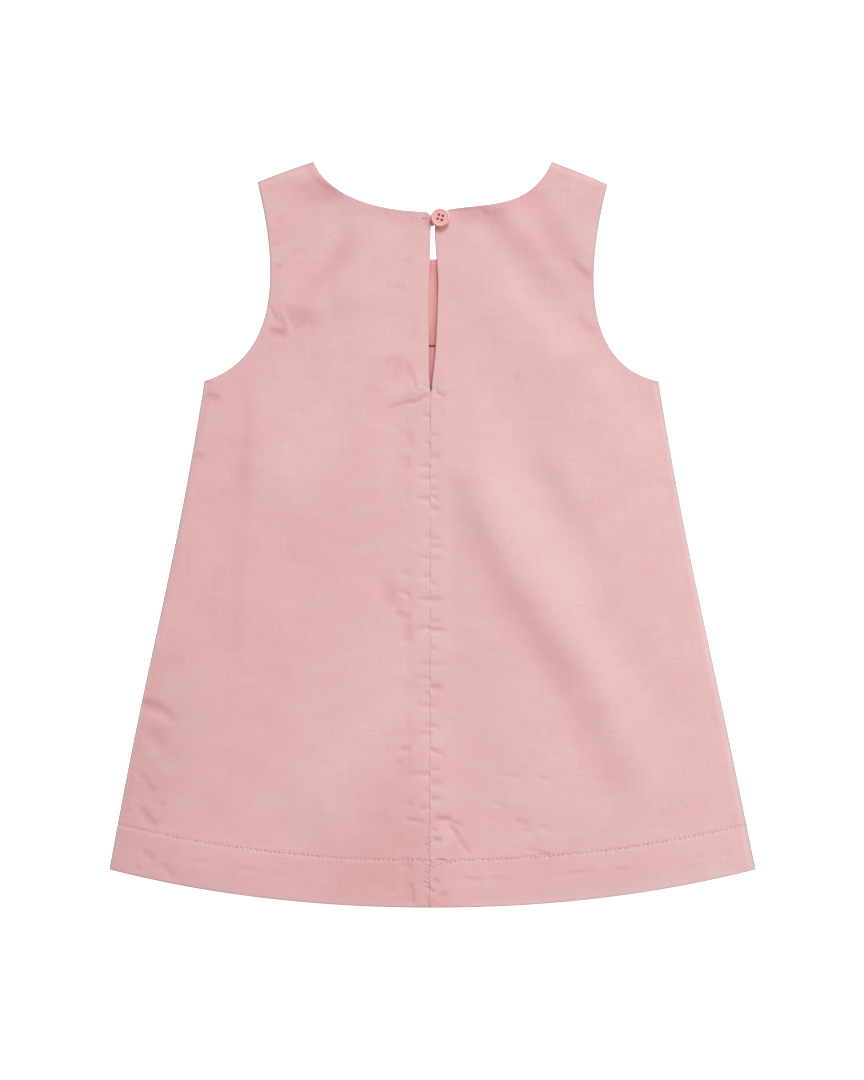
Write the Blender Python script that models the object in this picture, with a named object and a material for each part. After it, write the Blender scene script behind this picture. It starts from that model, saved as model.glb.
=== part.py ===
"""A small child's sleeveless A-line dress, laid flat on its front with its back up.

The dress is cut from one front, two back halves and a crescent neck facing.
The back halves are sewn together from the hem up to the foot of a slit, and
the slit is closed at the neck by a button and a thin cord loop.

Every point of the cut is given as (across, up): the signed distance from the
centre line, and the height above the lowest point of the hem.  The model is
in metres, +Z up, with its origin below the middle of the dress, on the
surface that the dress lies on.
"""

from collections import namedtuple
import math

import bmesh
import bpy
import numpy as np

MM = 0.001

# ---------------------------------------------------------------- dimensions

DRESS_LENGTH = 410.4 * MM       # lowest point of the hem to the neck points
WALL = 1.0 * MM                 # one layer of cloth, with its turned edges
GAP = 0.3 * MM                  # clearance between two layers, and at a seam

# Corners of the cut.
HEM_CORNER = (178.0 * MM, 20.8 * MM)
UNDERARM = (125.0 * MM, 289.6 * MM)
ARM_POINT = (96.4 * MM, 398.5 * MM)
NECK_POINT = (65.5 * MM, 410.4 * MM)

HEM_CURVE = 2.1                 # the hem rises with this power of the distance from the centre
SHOULDER_CROWN = 0.3 * MM       # the shoulder seam bows up by this
FRONT_ARMHOLE_INSET = 2.5 * MM  # the front is cut deeper under the arm
FRONT_HEM_INSET = 1.0 * MM      # the front's hem lies just inside the back's

SEAM_ACROSS = -1.2 * MM         # the centre-back seam lies just left of centre

FRONT_NECK_DEPTH = 53.7 * MM
FACING_HALF = 88.0 * MM
FACING_DEPTH = 101.2 * MM
FACING_NECK_SWEEP = math.radians(88.0)
FACING_OUTER_SWEEP = math.radians(84.5)

HEM_DEPTH = 25.9 * MM           # hem's edge up to its stitching
HEM_RELIEF = 0.25 * MM          # the turned-up layer lifts the hem by this
HEM_STEP = 5.0 * MM
ALLOWANCE_HALF = 10.5 * MM      # reach of the seam allowances, pressed open
ALLOWANCE_RELIEF = 0.30 * MM

LOFT = 2.2 * MM                 # the skirt's back arches up by this
LOFT_WIDTH = 75.0 * MM          # over this distance from each side seam
BODICE_FLAT = 80.0 * MM         # no arch to this distance from the shoulder seams
BODICE_LOFT_WIDTH = 120.0 * MM  # and the whole arch this much further down
SEAM_FADE = 12.0 * MM           # arch and folds come down to the sewn edges over this
SEWN_SHARE = 0.1                # a share of their rise reaches the sewn edges themselves
FOLD_END = 0.3                  # share of a fold's length that fades out at each end
FACING_LEVEL = 1.00             # the back lies level on the facing to this share of its size
FACING_SLOPE = 0.80             # and comes down to the front over this share more
LIFT_SOFTNESS = 0.15 * MM       # rounds a fold where it would meet the front

BUTTON_CENTRE = (4.2 * MM, 379.2 * MM)
BUTTON_RADIUS = 5.3 * MM
BUTTON_HOLE_CIRCLE = 1.65 * MM
BUTTON_HOLE_RADIUS = 0.65 * MM
BUTTON_HOLE_TURN = math.radians(28.5)
BUTTON_SIDES = 40
HOLE_SIDES = 12
SHANK_RADIUS = 1.25 * MM
SHANK_WAIST = 0.9
SHANK_SIDES = 16
CORD_RADIUS = 0.45 * MM
CORD_POINTS = 36

# Mesh density of one back half, and where its named rows and columns fall.
SHOULDER_COLUMNS = 8
NECK_COLUMNS = 19
HEM_ROW_SHARES = (0.0, 0.31, 0.62, 0.93, 1.07)
SIDE_ROWS = 34
ARMHOLE_ROWS = 18
SHOULDER_SHARE = 0.30           # of the width, below the shoulder
SIDE_SHARE = 0.71               # of the height, below the underarm
EDGE_POINTS = 15                # points along each long edge of the front
FACING_COLUMNS = 44
FACING_ROWS = 3

# --------------------------------------------------------------- short tables

# The cut of the front (0) and of the back's left (-1) and right (+1) halves, in
# millimetres: the corners, the pulls of the armhole's and of the neckline's curve,
# and how far the side seam bows in and then sways.
Cut = namedtuple("Cut", "underarm arm_point arm_pulls neck_pulls side_bow side_sway")
CUTS = {
    0: Cut((124.0, 288.6), (95.6, 397.0), ((77.0, 303.5), (85.5, 356.0)), None, 2.2, 0.5),
    -1: Cut((125.6, 289.7), (96.4, 399.1), ((79.8, 304.3), (86.8, 361.2)),
            ((56.7, 388.5), (23.9, 383.0)), 0.7, 0.9),
    +1: Cut((124.5, 289.5), (96.4, 397.9), ((82.8, 298.6), (83.8, 349.2)),
            ((53.1, 381.7), (26.3, 388.4)), 1.3, 0.6),
}

# The slit: a height, and where the edge of each half lies there.
SlitRow = namedtuple("SlitRow", "up left right")
SLIT = (
    SlitRow(283.0, -1.35, -1.05),
    SlitRow(284.6, -1.50, -0.50),
    SlitRow(288.0, -1.75, -0.35),
    SlitRow(292.0, -2.00, 0.00),
    SlitRow(297.6, -2.05, 0.70),
    SlitRow(304.2, -2.05, 1.35),
    SlitRow(314.0, -2.20, 2.00),
    SlitRow(324.0, -2.50, 2.40),
    SlitRow(334.0, -2.45, 2.75),
    SlitRow(343.8, -2.25, 2.95),
    SlitRow(350.4, -1.85, 2.60),
    SlitRow(357.0, -1.35, 2.20),
    SlitRow(364.7, -1.15, 1.55),
    SlitRow(372.8, -0.95, 1.22),
    SlitRow(376.0, -0.80, 1.20),
    SlitRow(379.4, -0.80, 1.20),
    SlitRow(381.4, -1.50, 1.50),
    SlitRow(382.8, -3.60, 2.20),
)

# The largest folds of the back, in millimetres.  Each runs from one point to
# another, bows to its left, and swells to `height` at its middle: a ridge, or a
# hollow where the height is below 0.  It falls away over `left` on its left and
# over `right` on its right.
Fold = namedtuple("Fold", "from_across from_up to_across to_up bow left right height")
FOLDS = (
    Fold(8.0, 266.0, 92.0, 122.0, -9.0, 25.0, 16.0, 2.60),   # long diagonal ridge
    Fold(67.0, 160.0, 126.0, 42.0, 5.0, 17.0, 17.0, 2.00),   # its lower half
    Fold(-4.0, 250.0, 112.0, 44.0, -1.0, 10.0, 12.0, -0.90),  # hollow at its foot
    Fold(6.0, 312.0, 56.0, 204.0, 2.0, 14.0, 22.0, 0.65),    # ridge above its upper end
    Fold(20.0, 190.0, 96.0, 30.0, 2.0, 20.0, 26.0, 1.00),    # ridge below and left of it
    Fold(6.0, 366.0, 122.0, 246.0, 2.0, 13.0, 28.0, 1.10),   # ridge to the right underarm
    Fold(34.0, 391.0, 81.0, 336.0, -1.0, 12.0, 10.0, 1.30),    # ridges at the right shoulder
    Fold(56.0, 394.0, 95.0, 342.0, -2.0, 17.0, 9.0, 1.30),
    Fold(54.0, 262.0, 100.0, 190.0, 2.0, 12.0, 9.0, 0.70),   # soft ridge in the right half
    Fold(8.0, 389.0, 50.0, 387.0, -1.0, 8.0, 8.0, 1.60),     # lift of the right neckline
    Fold(-80.0, 412.0, -32.0, 390.0, -1.0, 9.0, 10.0, 2.10), # lift of the left neckline
    Fold(-32.0, 390.0, -66.0, 326.0, 2.0, 20.0, 8.0, 1.30),  # ridge below it
    Fold(-93.0, 331.0, -54.0, 329.0, 1.0, 12.0, 8.0, 1.30), # ridge at the left armhole
    Fold(-94.0, 316.0, -106.0, 120.0, 1.0, 16.0, 6.5, 0.75), # long soft ridge, left side
    Fold(-112.0, 236.0, -10.0, 268.0, -20.0, 36.0, 28.0, 1.60),  # swag across the left half
    Fold(-84.0, 38.0, 6.0, 112.0, -4.0, 34.0, 26.0, 1.80),   # swell above the left hem
    Fold(-146.0, 170.0, -132.0, -10.0, 4.0, 30.0, 24.0, 1.60),   # swell by the left side
)

# The cord loop: from the left half's slit edge round the shank and back.
# `climb` is 0 level with the left half's wall and 1 lying on the right half.
LoopRow = namedtuple("LoopRow", "across up climb")
LOOP = (
    LoopRow(-0.46, 378.2, 0.00),
    LoopRow(-0.02, 378.7, 0.18),
    LoopRow(0.60, 379.8, 0.78),
    LoopRow(1.60, 380.9, 1.00),
    LoopRow(4.20, 381.4, 1.00),
    LoopRow(5.76, 380.8, 1.00),
    LoopRow(6.40, 379.2, 1.00),
    LoopRow(5.76, 377.6, 1.00),
    LoopRow(4.20, 377.0, 1.00),
    LoopRow(1.60, 376.0, 1.00),
    LoopRow(0.60, 375.3, 0.78),
    LoopRow(-0.08, 375.0, 0.18),
    LoopRow(-0.60, 374.9, 0.00),
)

# Half section of the button, from the middle of its back to the middle of its
# dish, in millimetres.
ButtonRow = namedtuple("ButtonRow", "radius height")
BUTTON_SECTION = (
    ButtonRow(0.00, 0.00),
    ButtonRow(3.70, 0.00),
    ButtonRow(4.90, 0.30),
    ButtonRow(5.30, 0.90),
    ButtonRow(5.22, 1.50),
    ButtonRow(4.85, 1.90),
    ButtonRow(4.35, 2.00),
    ButtonRow(3.90, 1.88),
    ButtonRow(3.50, 1.70),
    ButtonRow(2.90, 1.60),
    ButtonRow(0.00, 1.58),
)
BUTTON_THICKNESS = 2.0 * MM

# ------------------------------------------------------------- general helpers


def clear_scene():
    """Remove every object, so that the dress is the only thing in the file."""
    for old in list(bpy.data.objects):
        bpy.data.objects.remove(old, do_unlink=True)


def material(name, colour, roughness, sheen=0.0):
    """A Principled BSDF material of one colour."""
    finish = bpy.data.materials.new(name)
    finish.use_nodes = True
    shader = finish.node_tree.nodes["Principled BSDF"]
    shader.inputs["Base Color"].default_value = (*colour, 1.0)
    shader.inputs["Roughness"].default_value = roughness
    shader.inputs["Metallic"].default_value = 0.0
    shader.inputs["Sheen Weight"].default_value = sheen
    return finish


def add_piece(name, data, finish):
    """Put a mesh or a curve in the scene as one named object."""
    data.materials.append(finish)
    piece = bpy.data.objects.new(name, data)
    bpy.context.scene.collection.objects.link(piece)
    return piece


def add_mesh(name, vertices, faces, finish):
    """A smooth-shaded mesh object whose sharp edges stay sharp."""
    mesh = bpy.data.meshes.new(name)
    mesh.from_pydata(vertices.tolist(), [], faces)
    mesh.shade_smooth()
    mesh.set_sharp_from_angle(angle=math.radians(40.0))
    return add_piece(name, mesh, finish)


def smooth_step(value):
    """0 below 0, 1 above 1, and 3v^2 - 2v^3 between."""
    v = np.clip(value, 0.0, 1.0)
    return v * v * (3.0 - 2.0 * v)


def bezier(start, pull_start, pull_end, end, t):
    """Points along a cubic curve from start to end."""
    t = np.asarray(t)[:, None]
    s = 1.0 - t
    return (s ** 3 * np.array(start) + 3.0 * s ** 2 * t * np.array(pull_start)
            + 3.0 * s * t ** 2 * np.array(pull_end) + t ** 3 * np.array(end))


def bowed_line(start, end, bow, t, sway=0.0):
    """Points from start to end that bow to the left of the way, and sway right, then left."""
    start, end = np.array(start), np.array(end)
    run = end - start
    left = np.array((-run[1], run[0])) / np.hypot(*run)
    t = np.asarray(t)[:, None]
    off = 4.0 * bow * t * (1.0 - t) - sway * np.sin(2.0 * np.pi * t)
    return start + t * run + off * left


def through(knots, values, at):
    """Cubic curve through (knots, values), with its slopes set by the neighbours."""
    slopes = np.gradient(values, knots)
    cell = np.clip(np.searchsorted(knots, at) - 1, 0, len(knots) - 2)
    width = knots[cell + 1] - knots[cell]
    s = (at - knots[cell]) / width
    start = (2.0 * s ** 3 - 3.0 * s ** 2 + 1.0) * values[cell]
    start += (s ** 3 - 2.0 * s ** 2 + s) * width * slopes[cell]
    end = (3.0 * s ** 2 - 2.0 * s ** 3) * values[cell + 1]
    end += (s ** 3 - s ** 2) * width * slopes[cell + 1]
    return start + end


def column(table, name):
    """One column of a table in millimetres, as metres."""
    return np.array([getattr(row, name) for row in table]) * MM


def in_world(across, up, height):
    """World coordinates of points of the cut at the given heights."""
    return np.stack((across, up - DRESS_LENGTH / 2.0, height), axis=-1)


# --------------------------------------------------------------- the cut lines


def hem_up(across):
    """Height of the hem's edge: a shallow curve, lowest in the middle."""
    return HEM_CORNER[1] * np.abs(across / HEM_CORNER[0]) ** HEM_CURVE


def side_seam(cut, hem_corner, t):
    """Side seam on the right, from the hem corner to the underarm."""
    return bowed_line(hem_corner, np.array(cut.underarm) * MM, cut.side_bow * MM, t,
                      cut.side_sway * MM)


def armhole(cut, t):
    """Armhole on the right, from the underarm to the arm point."""
    points = (cut.underarm, *cut.arm_pulls, cut.arm_point)
    return bezier(*(np.array(points) * MM), t)


def outer_edge(side, v):
    """Side seam and armhole of one half as if on the right, from hem corner to arm point."""
    cut = CUTS[side]
    lower = side_seam(cut, HEM_CORNER, v[v <= SIDE_SHARE] / SIDE_SHARE)
    upper = armhole(cut, (v[v > SIDE_SHARE] - SIDE_SHARE) / (1.0 - SIDE_SHARE))
    return np.concatenate((lower, upper))


def centre_edge(side, v):
    """Centre seam and slit edge of one half, from the hem to the neckline."""
    slit_up = column(SLIT, "up")
    slit_across = column(SLIT, "left" if side < 0 else "right")
    up = np.interp(v, (0.0, SIDE_SHARE, 1.0), (0.0, slit_up[0], slit_up[-1]))
    across = np.where(up <= slit_up[0], SEAM_ACROSS + side * GAP / 2.0,
                      through(slit_up, slit_across, up))
    return np.stack((across, up), axis=-1)


def top_edge(side, u):
    """Shoulder and neckline of one half, from the arm point to the slit."""
    flip = np.array((side, 1.0))
    cut = CUTS[side]
    corner = centre_edge(side, np.array((1.0,)))[0] * flip
    shoulder = bowed_line(np.array(cut.arm_point) * MM, NECK_POINT, -SHOULDER_CROWN,
                          u[u <= SHOULDER_SHARE] / SHOULDER_SHARE)
    t = (u[u > SHOULDER_SHARE] - SHOULDER_SHARE) / (1.0 - SHOULDER_SHARE)
    neck = bezier(NECK_POINT, *(np.array(cut.neck_pulls) * MM), corner, t)
    return np.concatenate((shoulder, neck)) * flip


def back_half_grid(side, u, v):
    """Points of one back half: its four edges, blended over rows and columns.

    Each point is the blend of the two long edges at its row plus the blend of
    the two short edges at its column, less the blend of the four corners.
    """
    flip = np.array((side, 1.0))
    outer = (outer_edge(side, v) * flip)[:, None]
    centre = centre_edge(side, v)[:, None]
    hem_across = outer[0, 0, 0] + u * (centre[0, 0, 0] - outer[0, 0, 0])
    hem = np.stack((hem_across, hem_up(hem_across)), axis=-1)[None]
    top = top_edge(side, u)[None]
    u, v = u[None, :, None], v[:, None, None]
    long_way = (1.0 - u) * outer + u * centre
    short_way = (1.0 - v) * hem + v * top
    corners = ((1.0 - u) * (1.0 - v) * hem[:, :1] + u * (1.0 - v) * hem[:, -1:]
               + (1.0 - u) * v * top[:, :1] + u * v * top[:, -1:])
    return long_way + short_way - corners


# ------------------------------------------------------- height of the cloth


def below_line(across, up, start, end):
    """Distance of points from the line start-end, positive towards the dress."""
    run = np.array(end) - np.array(start)
    return ((up - start[1]) * -run[0] + (np.abs(across) - start[0]) * run[1]) / np.hypot(*run)


def fold_height(across, up, fold):
    """A soft ridge or trough: a bell across the fold, with its ends faded out."""
    start = np.array((fold.from_across, fold.from_up)) * MM
    run = np.array((fold.to_across, fold.to_up)) * MM - start
    length = np.hypot(*run)
    east, north = across - start[0], up - start[1]
    along = np.clip((east * run[0] + north * run[1]) / length ** 2, 0.0, 1.0)
    off = (north * run[0] - east * run[1]) / length - 4.0 * fold.bow * MM * along * (1.0 - along)
    swell = smooth_step(along / FOLD_END) * smooth_step((1.0 - along) / FOLD_END)
    width = np.where(off > 0.0, fold.left, fold.right) * MM
    return fold.height * MM * swell * np.exp(-(off / width) ** 2)


def facing_cover(across, up):
    """1 over the neck facing and inside its ring, falling to 0 outside it."""
    ring = np.hypot(across / FACING_HALF, (NECK_POINT[1] - up) / FACING_DEPTH)
    return 1.0 - smooth_step((ring - FACING_LEVEL) / FACING_SLOPE)


def back_underside(across, up):
    """Height of the underside of the back above the surface it lies on."""
    floor = (WALL + GAP) * (1.0 + facing_cover(across, up))
    from_side = below_line(across, up, UNDERARM, HEM_CORNER)
    from_shoulder = below_line(across, up, NECK_POINT, ARM_POINT)
    lift = LOFT * np.sin(np.pi / 2.0 * np.clip(from_side / LOFT_WIDTH, 0.0, 1.0))
    lift *= smooth_step((from_shoulder - BODICE_FLAT) / BODICE_LOFT_WIDTH)
    for fold in FOLDS:
        lift = lift + fold_height(across, up, fold)
    lift *= smooth_step(SEWN_SHARE + from_side / SEAM_FADE)
    lift *= smooth_step(SEWN_SHARE + from_shoulder / SEAM_FADE)
    lift = (lift + np.hypot(lift, LIFT_SOFTNESS)) / 2.0
    in_allowance = np.exp(-((across - SEAM_ACROSS) / ALLOWANCE_HALF) ** 4)
    in_hem = smooth_step(0.5 + (hem_up(across) + HEM_DEPTH - up) / HEM_STEP)
    return floor + lift + ALLOWANCE_RELIEF * in_allowance + HEM_RELIEF * in_hem


# ----------------------------------------------------------------- the pieces


def wall_from_grid(name, underside, finish):
    """A closed wall from a grid of underside points: a copy one WALL above, and a rim.

    The grid's rows go up the dress and its columns go to the right, so the
    upper skin faces up.
    """
    rows, columns = underside.shape[:2]
    index = np.arange(rows * columns).reshape(rows, columns)
    cells = np.stack((index[:-1, :-1], index[:-1, 1:], index[1:, 1:], index[1:, :-1]), axis=-1)
    lower = cells.reshape(-1, 4)
    upper = lower + rows * columns
    border = np.concatenate((index[0, :-1], index[:-1, -1], index[-1, :0:-1], index[:0:-1, 0]))
    following = np.roll(border, -1)
    rim = np.stack((border, following, following + rows * columns,
                    border + rows * columns), axis=-1)
    faces = np.concatenate((lower[:, ::-1], upper, rim))
    vertices = np.concatenate((underside.reshape(-1, 3),
                               underside.reshape(-1, 3) + (0.0, 0.0, WALL)))
    return add_mesh(name, vertices, faces.tolist(), finish)


def back_panel(name, side, finish):
    """One half of the back, with the slit's edge and the largest folds."""
    u = np.concatenate((np.linspace(0.0, SHOULDER_SHARE, SHOULDER_COLUMNS + 1),
                        np.linspace(SHOULDER_SHARE, 1.0, NECK_COLUMNS + 1)[1:]))
    hem_share = SIDE_SHARE * HEM_DEPTH / (UNDERARM[1] - HEM_CORNER[1])
    hem_rows = np.array(HEM_ROW_SHARES) * hem_share
    v = np.concatenate((hem_rows,
                        np.linspace(hem_rows[-1], SIDE_SHARE, SIDE_ROWS + 1)[1:],
                        np.linspace(SIDE_SHARE, 1.0, ARMHOLE_ROWS + 1)[1:]))
    points = back_half_grid(side, u, v)
    if side > 0:
        points = points[:, ::-1]
    across, up = points[..., 0], points[..., 1]
    return wall_from_grid(name, in_world(across, up, back_underside(across, up)), finish)


def front_neckline(t):
    """The front's scoop: the lower half of an ellipse, from left to right neck point."""
    angle = (t - 0.5) * np.pi
    return np.stack((NECK_POINT[0] * np.sin(angle),
                     NECK_POINT[1] - FRONT_NECK_DEPTH * np.cos(angle)), axis=-1)


def front_panel(name, finish):
    """The front, one flat piece: its outline filled and raised by one WALL."""
    t = np.linspace(0.0, 1.0, EDGE_POINTS)
    hem_across = np.linspace(0.0, HEM_CORNER[0], EDGE_POINTS)
    hem = np.stack((hem_across, hem_up(hem_across) + FRONT_HEM_INSET), axis=-1)
    cut = CUTS[0]
    side = side_seam(cut, hem[-1], t)
    scye = armhole(cut, t)
    scye[:, 0] -= FRONT_ARMHOLE_INSET * np.sin(np.pi * t)
    neck = front_neckline(np.linspace(1.0, 0.5, EDGE_POINTS))
    right = np.concatenate((hem, side[1:], scye[1:], neck))
    left = right[-2:0:-1] * (-1.0, 1.0)
    outline = np.concatenate((right, left))
    count = len(outline)
    lower = in_world(outline[:, 0], outline[:, 1], np.zeros(count))
    ring = np.arange(count)
    following = np.roll(ring, -1)
    rim = np.stack((ring, following, following + count, ring + count), axis=-1).tolist()
    faces = [ring[::-1].tolist(), (ring + count).tolist()] + rim
    return add_mesh(name, np.concatenate((lower, lower + (0.0, 0.0, WALL))), faces, finish)


def front_neck_facing(name, finish):
    """The crescent that faces the front's neckline, lying on the front."""
    share = np.linspace(-1.0, 1.0, FACING_COLUMNS + 1)
    neck = share * FACING_NECK_SWEEP
    outer = share * FACING_OUTER_SWEEP
    inner_line = np.stack((NECK_POINT[0] * np.sin(neck),
                           NECK_POINT[1] - FRONT_NECK_DEPTH * np.cos(neck)), axis=-1)
    outer_line = np.stack((FACING_HALF * np.sin(outer),
                           NECK_POINT[1] - FACING_DEPTH * np.cos(outer)), axis=-1)
    rise = np.linspace(0.0, 1.0, FACING_ROWS + 1)[:, None, None]
    points = outer_line[None] * (1.0 - rise) + inner_line[None] * rise
    height = np.full(points.shape[:2], WALL + GAP)
    return wall_from_grid(name, in_world(points[..., 0], points[..., 1], height), finish)


def button_rest_height():
    """Highest point of the back below the button."""
    angle = np.linspace(0.0, 2.0 * np.pi, BUTTON_SIDES, endpoint=False)
    across = BUTTON_CENTRE[0] + BUTTON_RADIUS * np.cos(angle)
    up = BUTTON_CENTRE[1] + BUTTON_RADIUS * np.sin(angle)
    return float(np.max(back_underside(across, up))) + WALL


def turned(name, section, sides, finish):
    """A closed body turned about +Z from a half section that starts and ends on the axis."""
    shape = bmesh.new()
    knots = [shape.verts.new((radius, 0.0, height)) for radius, height in section]
    edges = [shape.edges.new(pair) for pair in zip(knots[:-1], knots[1:])]
    bmesh.ops.spin(shape, geom=knots + edges, cent=(0.0, 0.0, 0.0), axis=(0.0, 0.0, 1.0),
                   angle=2.0 * math.pi, steps=sides, use_merge=True, use_duplicate=False)
    bmesh.ops.remove_doubles(shape, verts=shape.verts, dist=0.01 * MM)
    bmesh.ops.recalc_face_normals(shape, faces=shape.faces)
    mesh = bpy.data.meshes.new(name)
    shape.to_mesh(mesh)
    shape.free()
    mesh.shade_smooth()
    mesh.set_sharp_from_angle(angle=math.radians(40.0))
    return add_piece(name, mesh, finish)


def place_on_button(piece, height):
    """Stand a turned piece at the button's centre."""
    piece.location = in_world(np.array(BUTTON_CENTRE[0]), np.array(BUTTON_CENTRE[1]),
                              np.array(height)).tolist()


def button(name, base, finish):
    """The four-hole button, raised off the cloth by its shank."""
    section = [(row.radius * MM, row.height * MM) for row in BUTTON_SECTION]
    disc = turned(name, section, BUTTON_SIDES, finish)
    place_on_button(disc, base)

    shape = bmesh.new()
    for number in range(4):
        angle = BUTTON_HOLE_TURN + number * math.pi / 2.0
        made = bmesh.ops.create_cone(shape, cap_ends=True, segments=HOLE_SIDES,
                                     radius1=BUTTON_HOLE_RADIUS, radius2=BUTTON_HOLE_RADIUS,
                                     depth=3.0 * BUTTON_THICKNESS)
        offset = (BUTTON_HOLE_CIRCLE * math.cos(angle), BUTTON_HOLE_CIRCLE * math.sin(angle),
                  BUTTON_THICKNESS / 2.0)
        bmesh.ops.translate(shape, verts=made["verts"], vec=offset)
    mesh = bpy.data.meshes.new("button_drill")
    shape.to_mesh(mesh)
    shape.free()
    drill = add_piece("button_drill", mesh, finish)
    drill.hide_render = True
    drill.display_type = "WIRE"
    place_on_button(drill, base)

    cut = disc.modifiers.new("thread_holes", "BOOLEAN")
    cut.operation = "DIFFERENCE"
    cut.solver = "EXACT"
    cut.object = drill
    return disc


def button_thread(name, low, high, finish):
    """The wound shank between the cloth and the button, slightly waisted."""
    middle = (high - low) / 2.0
    section = ((0.0, 0.0), (SHANK_RADIUS, 0.0), (SHANK_RADIUS * SHANK_WAIST, middle),
               (SHANK_RADIUS, 2.0 * middle), (0.0, 2.0 * middle))
    shank = turned(name, section, SHANK_SIDES, finish)
    place_on_button(shank, low)
    return shank


def button_loop(name, panel_top, finish):
    """The cord loop: out of the slit's left edge, round the shank and back."""
    left_wall = float(back_underside(LOOP[0].across * MM, LOOP[0].up * MM)) + WALL / 2.0
    lying = panel_top + GAP + CORD_RADIUS
    knots = np.arange(len(LOOP)) * 1.0
    at = np.linspace(0.0, knots[-1], CORD_POINTS)
    across = through(knots, column(LOOP, "across"), at)
    up = through(knots, column(LOOP, "up"), at)
    climb = np.clip(through(knots, column(LOOP, "climb") / MM, at), 0.0, 1.0)
    points = in_world(across, up, left_wall + climb * (lying - left_wall))
    route = bpy.data.curves.new(name, "CURVE")
    route.dimensions = "3D"
    route.bevel_depth = CORD_RADIUS
    route.bevel_resolution = 2
    route.use_fill_caps = True
    spline = route.splines.new("POLY")
    spline.points.add(CORD_POINTS - 1)
    spline.points.foreach_set("co", np.insert(points, 3, 1.0, axis=1).ravel())
    return add_piece(name, route, finish)


def main():
    """Build the dress, piece by piece."""
    clear_scene()
    cotton = material("pink_cotton", (0.76, 0.47, 0.48), 0.85, sheen=0.15)
    inside = material("pink_cotton_inside", (0.70, 0.38, 0.38), 0.90, sheen=0.10)
    resin = material("pink_button", (0.78, 0.40, 0.38), 0.45)
    thread = material("pink_thread", (0.66, 0.34, 0.34), 0.80)

    front_panel("front_panel", cotton)
    front_neck_facing("front_neck_facing", inside)
    back_panel("back_panel_left", -1, cotton)
    back_panel("back_panel_right", +1, cotton)

    panel_top = button_rest_height()
    button_base = panel_top + 2.0 * (GAP + CORD_RADIUS)
    button("button", button_base, resin)
    button_thread("button_thread", panel_top + GAP, button_base - GAP, thread)
    button_loop("button_loop", panel_top, thread)


main()
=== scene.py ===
from collections import namedtuple
import math

import bpy
import numpy as np
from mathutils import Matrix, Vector


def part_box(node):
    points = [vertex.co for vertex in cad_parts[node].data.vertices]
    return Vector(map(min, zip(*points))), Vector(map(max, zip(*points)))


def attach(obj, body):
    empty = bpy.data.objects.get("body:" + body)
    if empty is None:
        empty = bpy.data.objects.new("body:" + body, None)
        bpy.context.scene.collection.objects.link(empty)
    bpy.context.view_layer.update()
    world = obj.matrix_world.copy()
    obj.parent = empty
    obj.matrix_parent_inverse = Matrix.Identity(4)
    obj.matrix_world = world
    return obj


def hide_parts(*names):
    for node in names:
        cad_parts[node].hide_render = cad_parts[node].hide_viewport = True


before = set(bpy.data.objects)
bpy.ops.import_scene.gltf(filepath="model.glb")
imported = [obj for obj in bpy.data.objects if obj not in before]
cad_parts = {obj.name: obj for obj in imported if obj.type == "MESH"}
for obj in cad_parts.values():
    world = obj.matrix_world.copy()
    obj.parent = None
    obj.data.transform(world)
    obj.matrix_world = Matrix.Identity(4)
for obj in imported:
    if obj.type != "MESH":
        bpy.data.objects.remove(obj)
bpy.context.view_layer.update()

bl_info = {
    "name": "A-line Dress, Laid Flat",
    "version": (1, 0, 0),
    "blender": (4, 5, 0),
    "location": "3D View > Sidebar > Dress",
    "description": "Gives the solids of a child's A-line dress their cotton, thread and resin",
    "category": "Object",
}

# Every point of the cut is (across, up): the signed distance from the centre
# line, and the height above the lowest point of the hem.  Sizes are in metres,
# and the short tables further down are in millimetres.

MM = 0.001

BACK_LOW, BACK_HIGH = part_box("back_panel_right")
FRONT_LOW, FRONT_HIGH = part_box("front_panel")
BUTTON_LOW, BUTTON_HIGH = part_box("button")
SHANK_LOW, SHANK_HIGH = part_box("button_thread")
LOOP_LOW, LOOP_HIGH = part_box("button_loop")

DRESS_LENGTH = BACK_HIGH[1] - BACK_LOW[1]
WALL = FRONT_HIGH[2] - FRONT_LOW[2]
GAP = 0.3 * MM

# ------------------------------------------------------------- the cut's sizes

HEM_CORNER = (178.0 * MM, 20.8 * MM)
UNDERARM = (125.0 * MM, 289.6 * MM)
ARM_POINT = (96.4 * MM, 398.5 * MM)
NECK_POINT = (65.5 * MM, 410.4 * MM)
HEM_CURVE = 2.1
SIDE_INSET = 1.0 * MM           # the side seams lie about this far in from a straight line
SHOULDER_CROWN = 0.3 * MM
FRONT_ARMHOLE_INSET = 2.5 * MM
FRONT_HEM_INSET = 1.0 * MM
SEAM_ACROSS = -1.2 * MM
SEAM_OPENING = 0.01 * MM        # the two back halves all but touch along the seam
SEAM_DRIFT = 0.45 * MM          # the seam strays left by this towards the hem
SEAM_DRIFT_FADE = (45.0 * MM, 60.0 * MM)
SLIT_OPENING = 2.0 * MM         # the slit opens over this much of its lower end
FRONT_NECK_DEPTH = 53.7 * MM
FACING_HALF = 88.0 * MM
FACING_DEPTH = 101.2 * MM
FACING_NECK_SWEEP = math.radians(88.0)
FACING_OUTER_SWEEP = math.radians(84.5)
SHOULDER_SHARE = 0.30           # of a back half's width, below the shoulder
SIDE_SHARE = 0.71               # of its height, below the underarm

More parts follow.
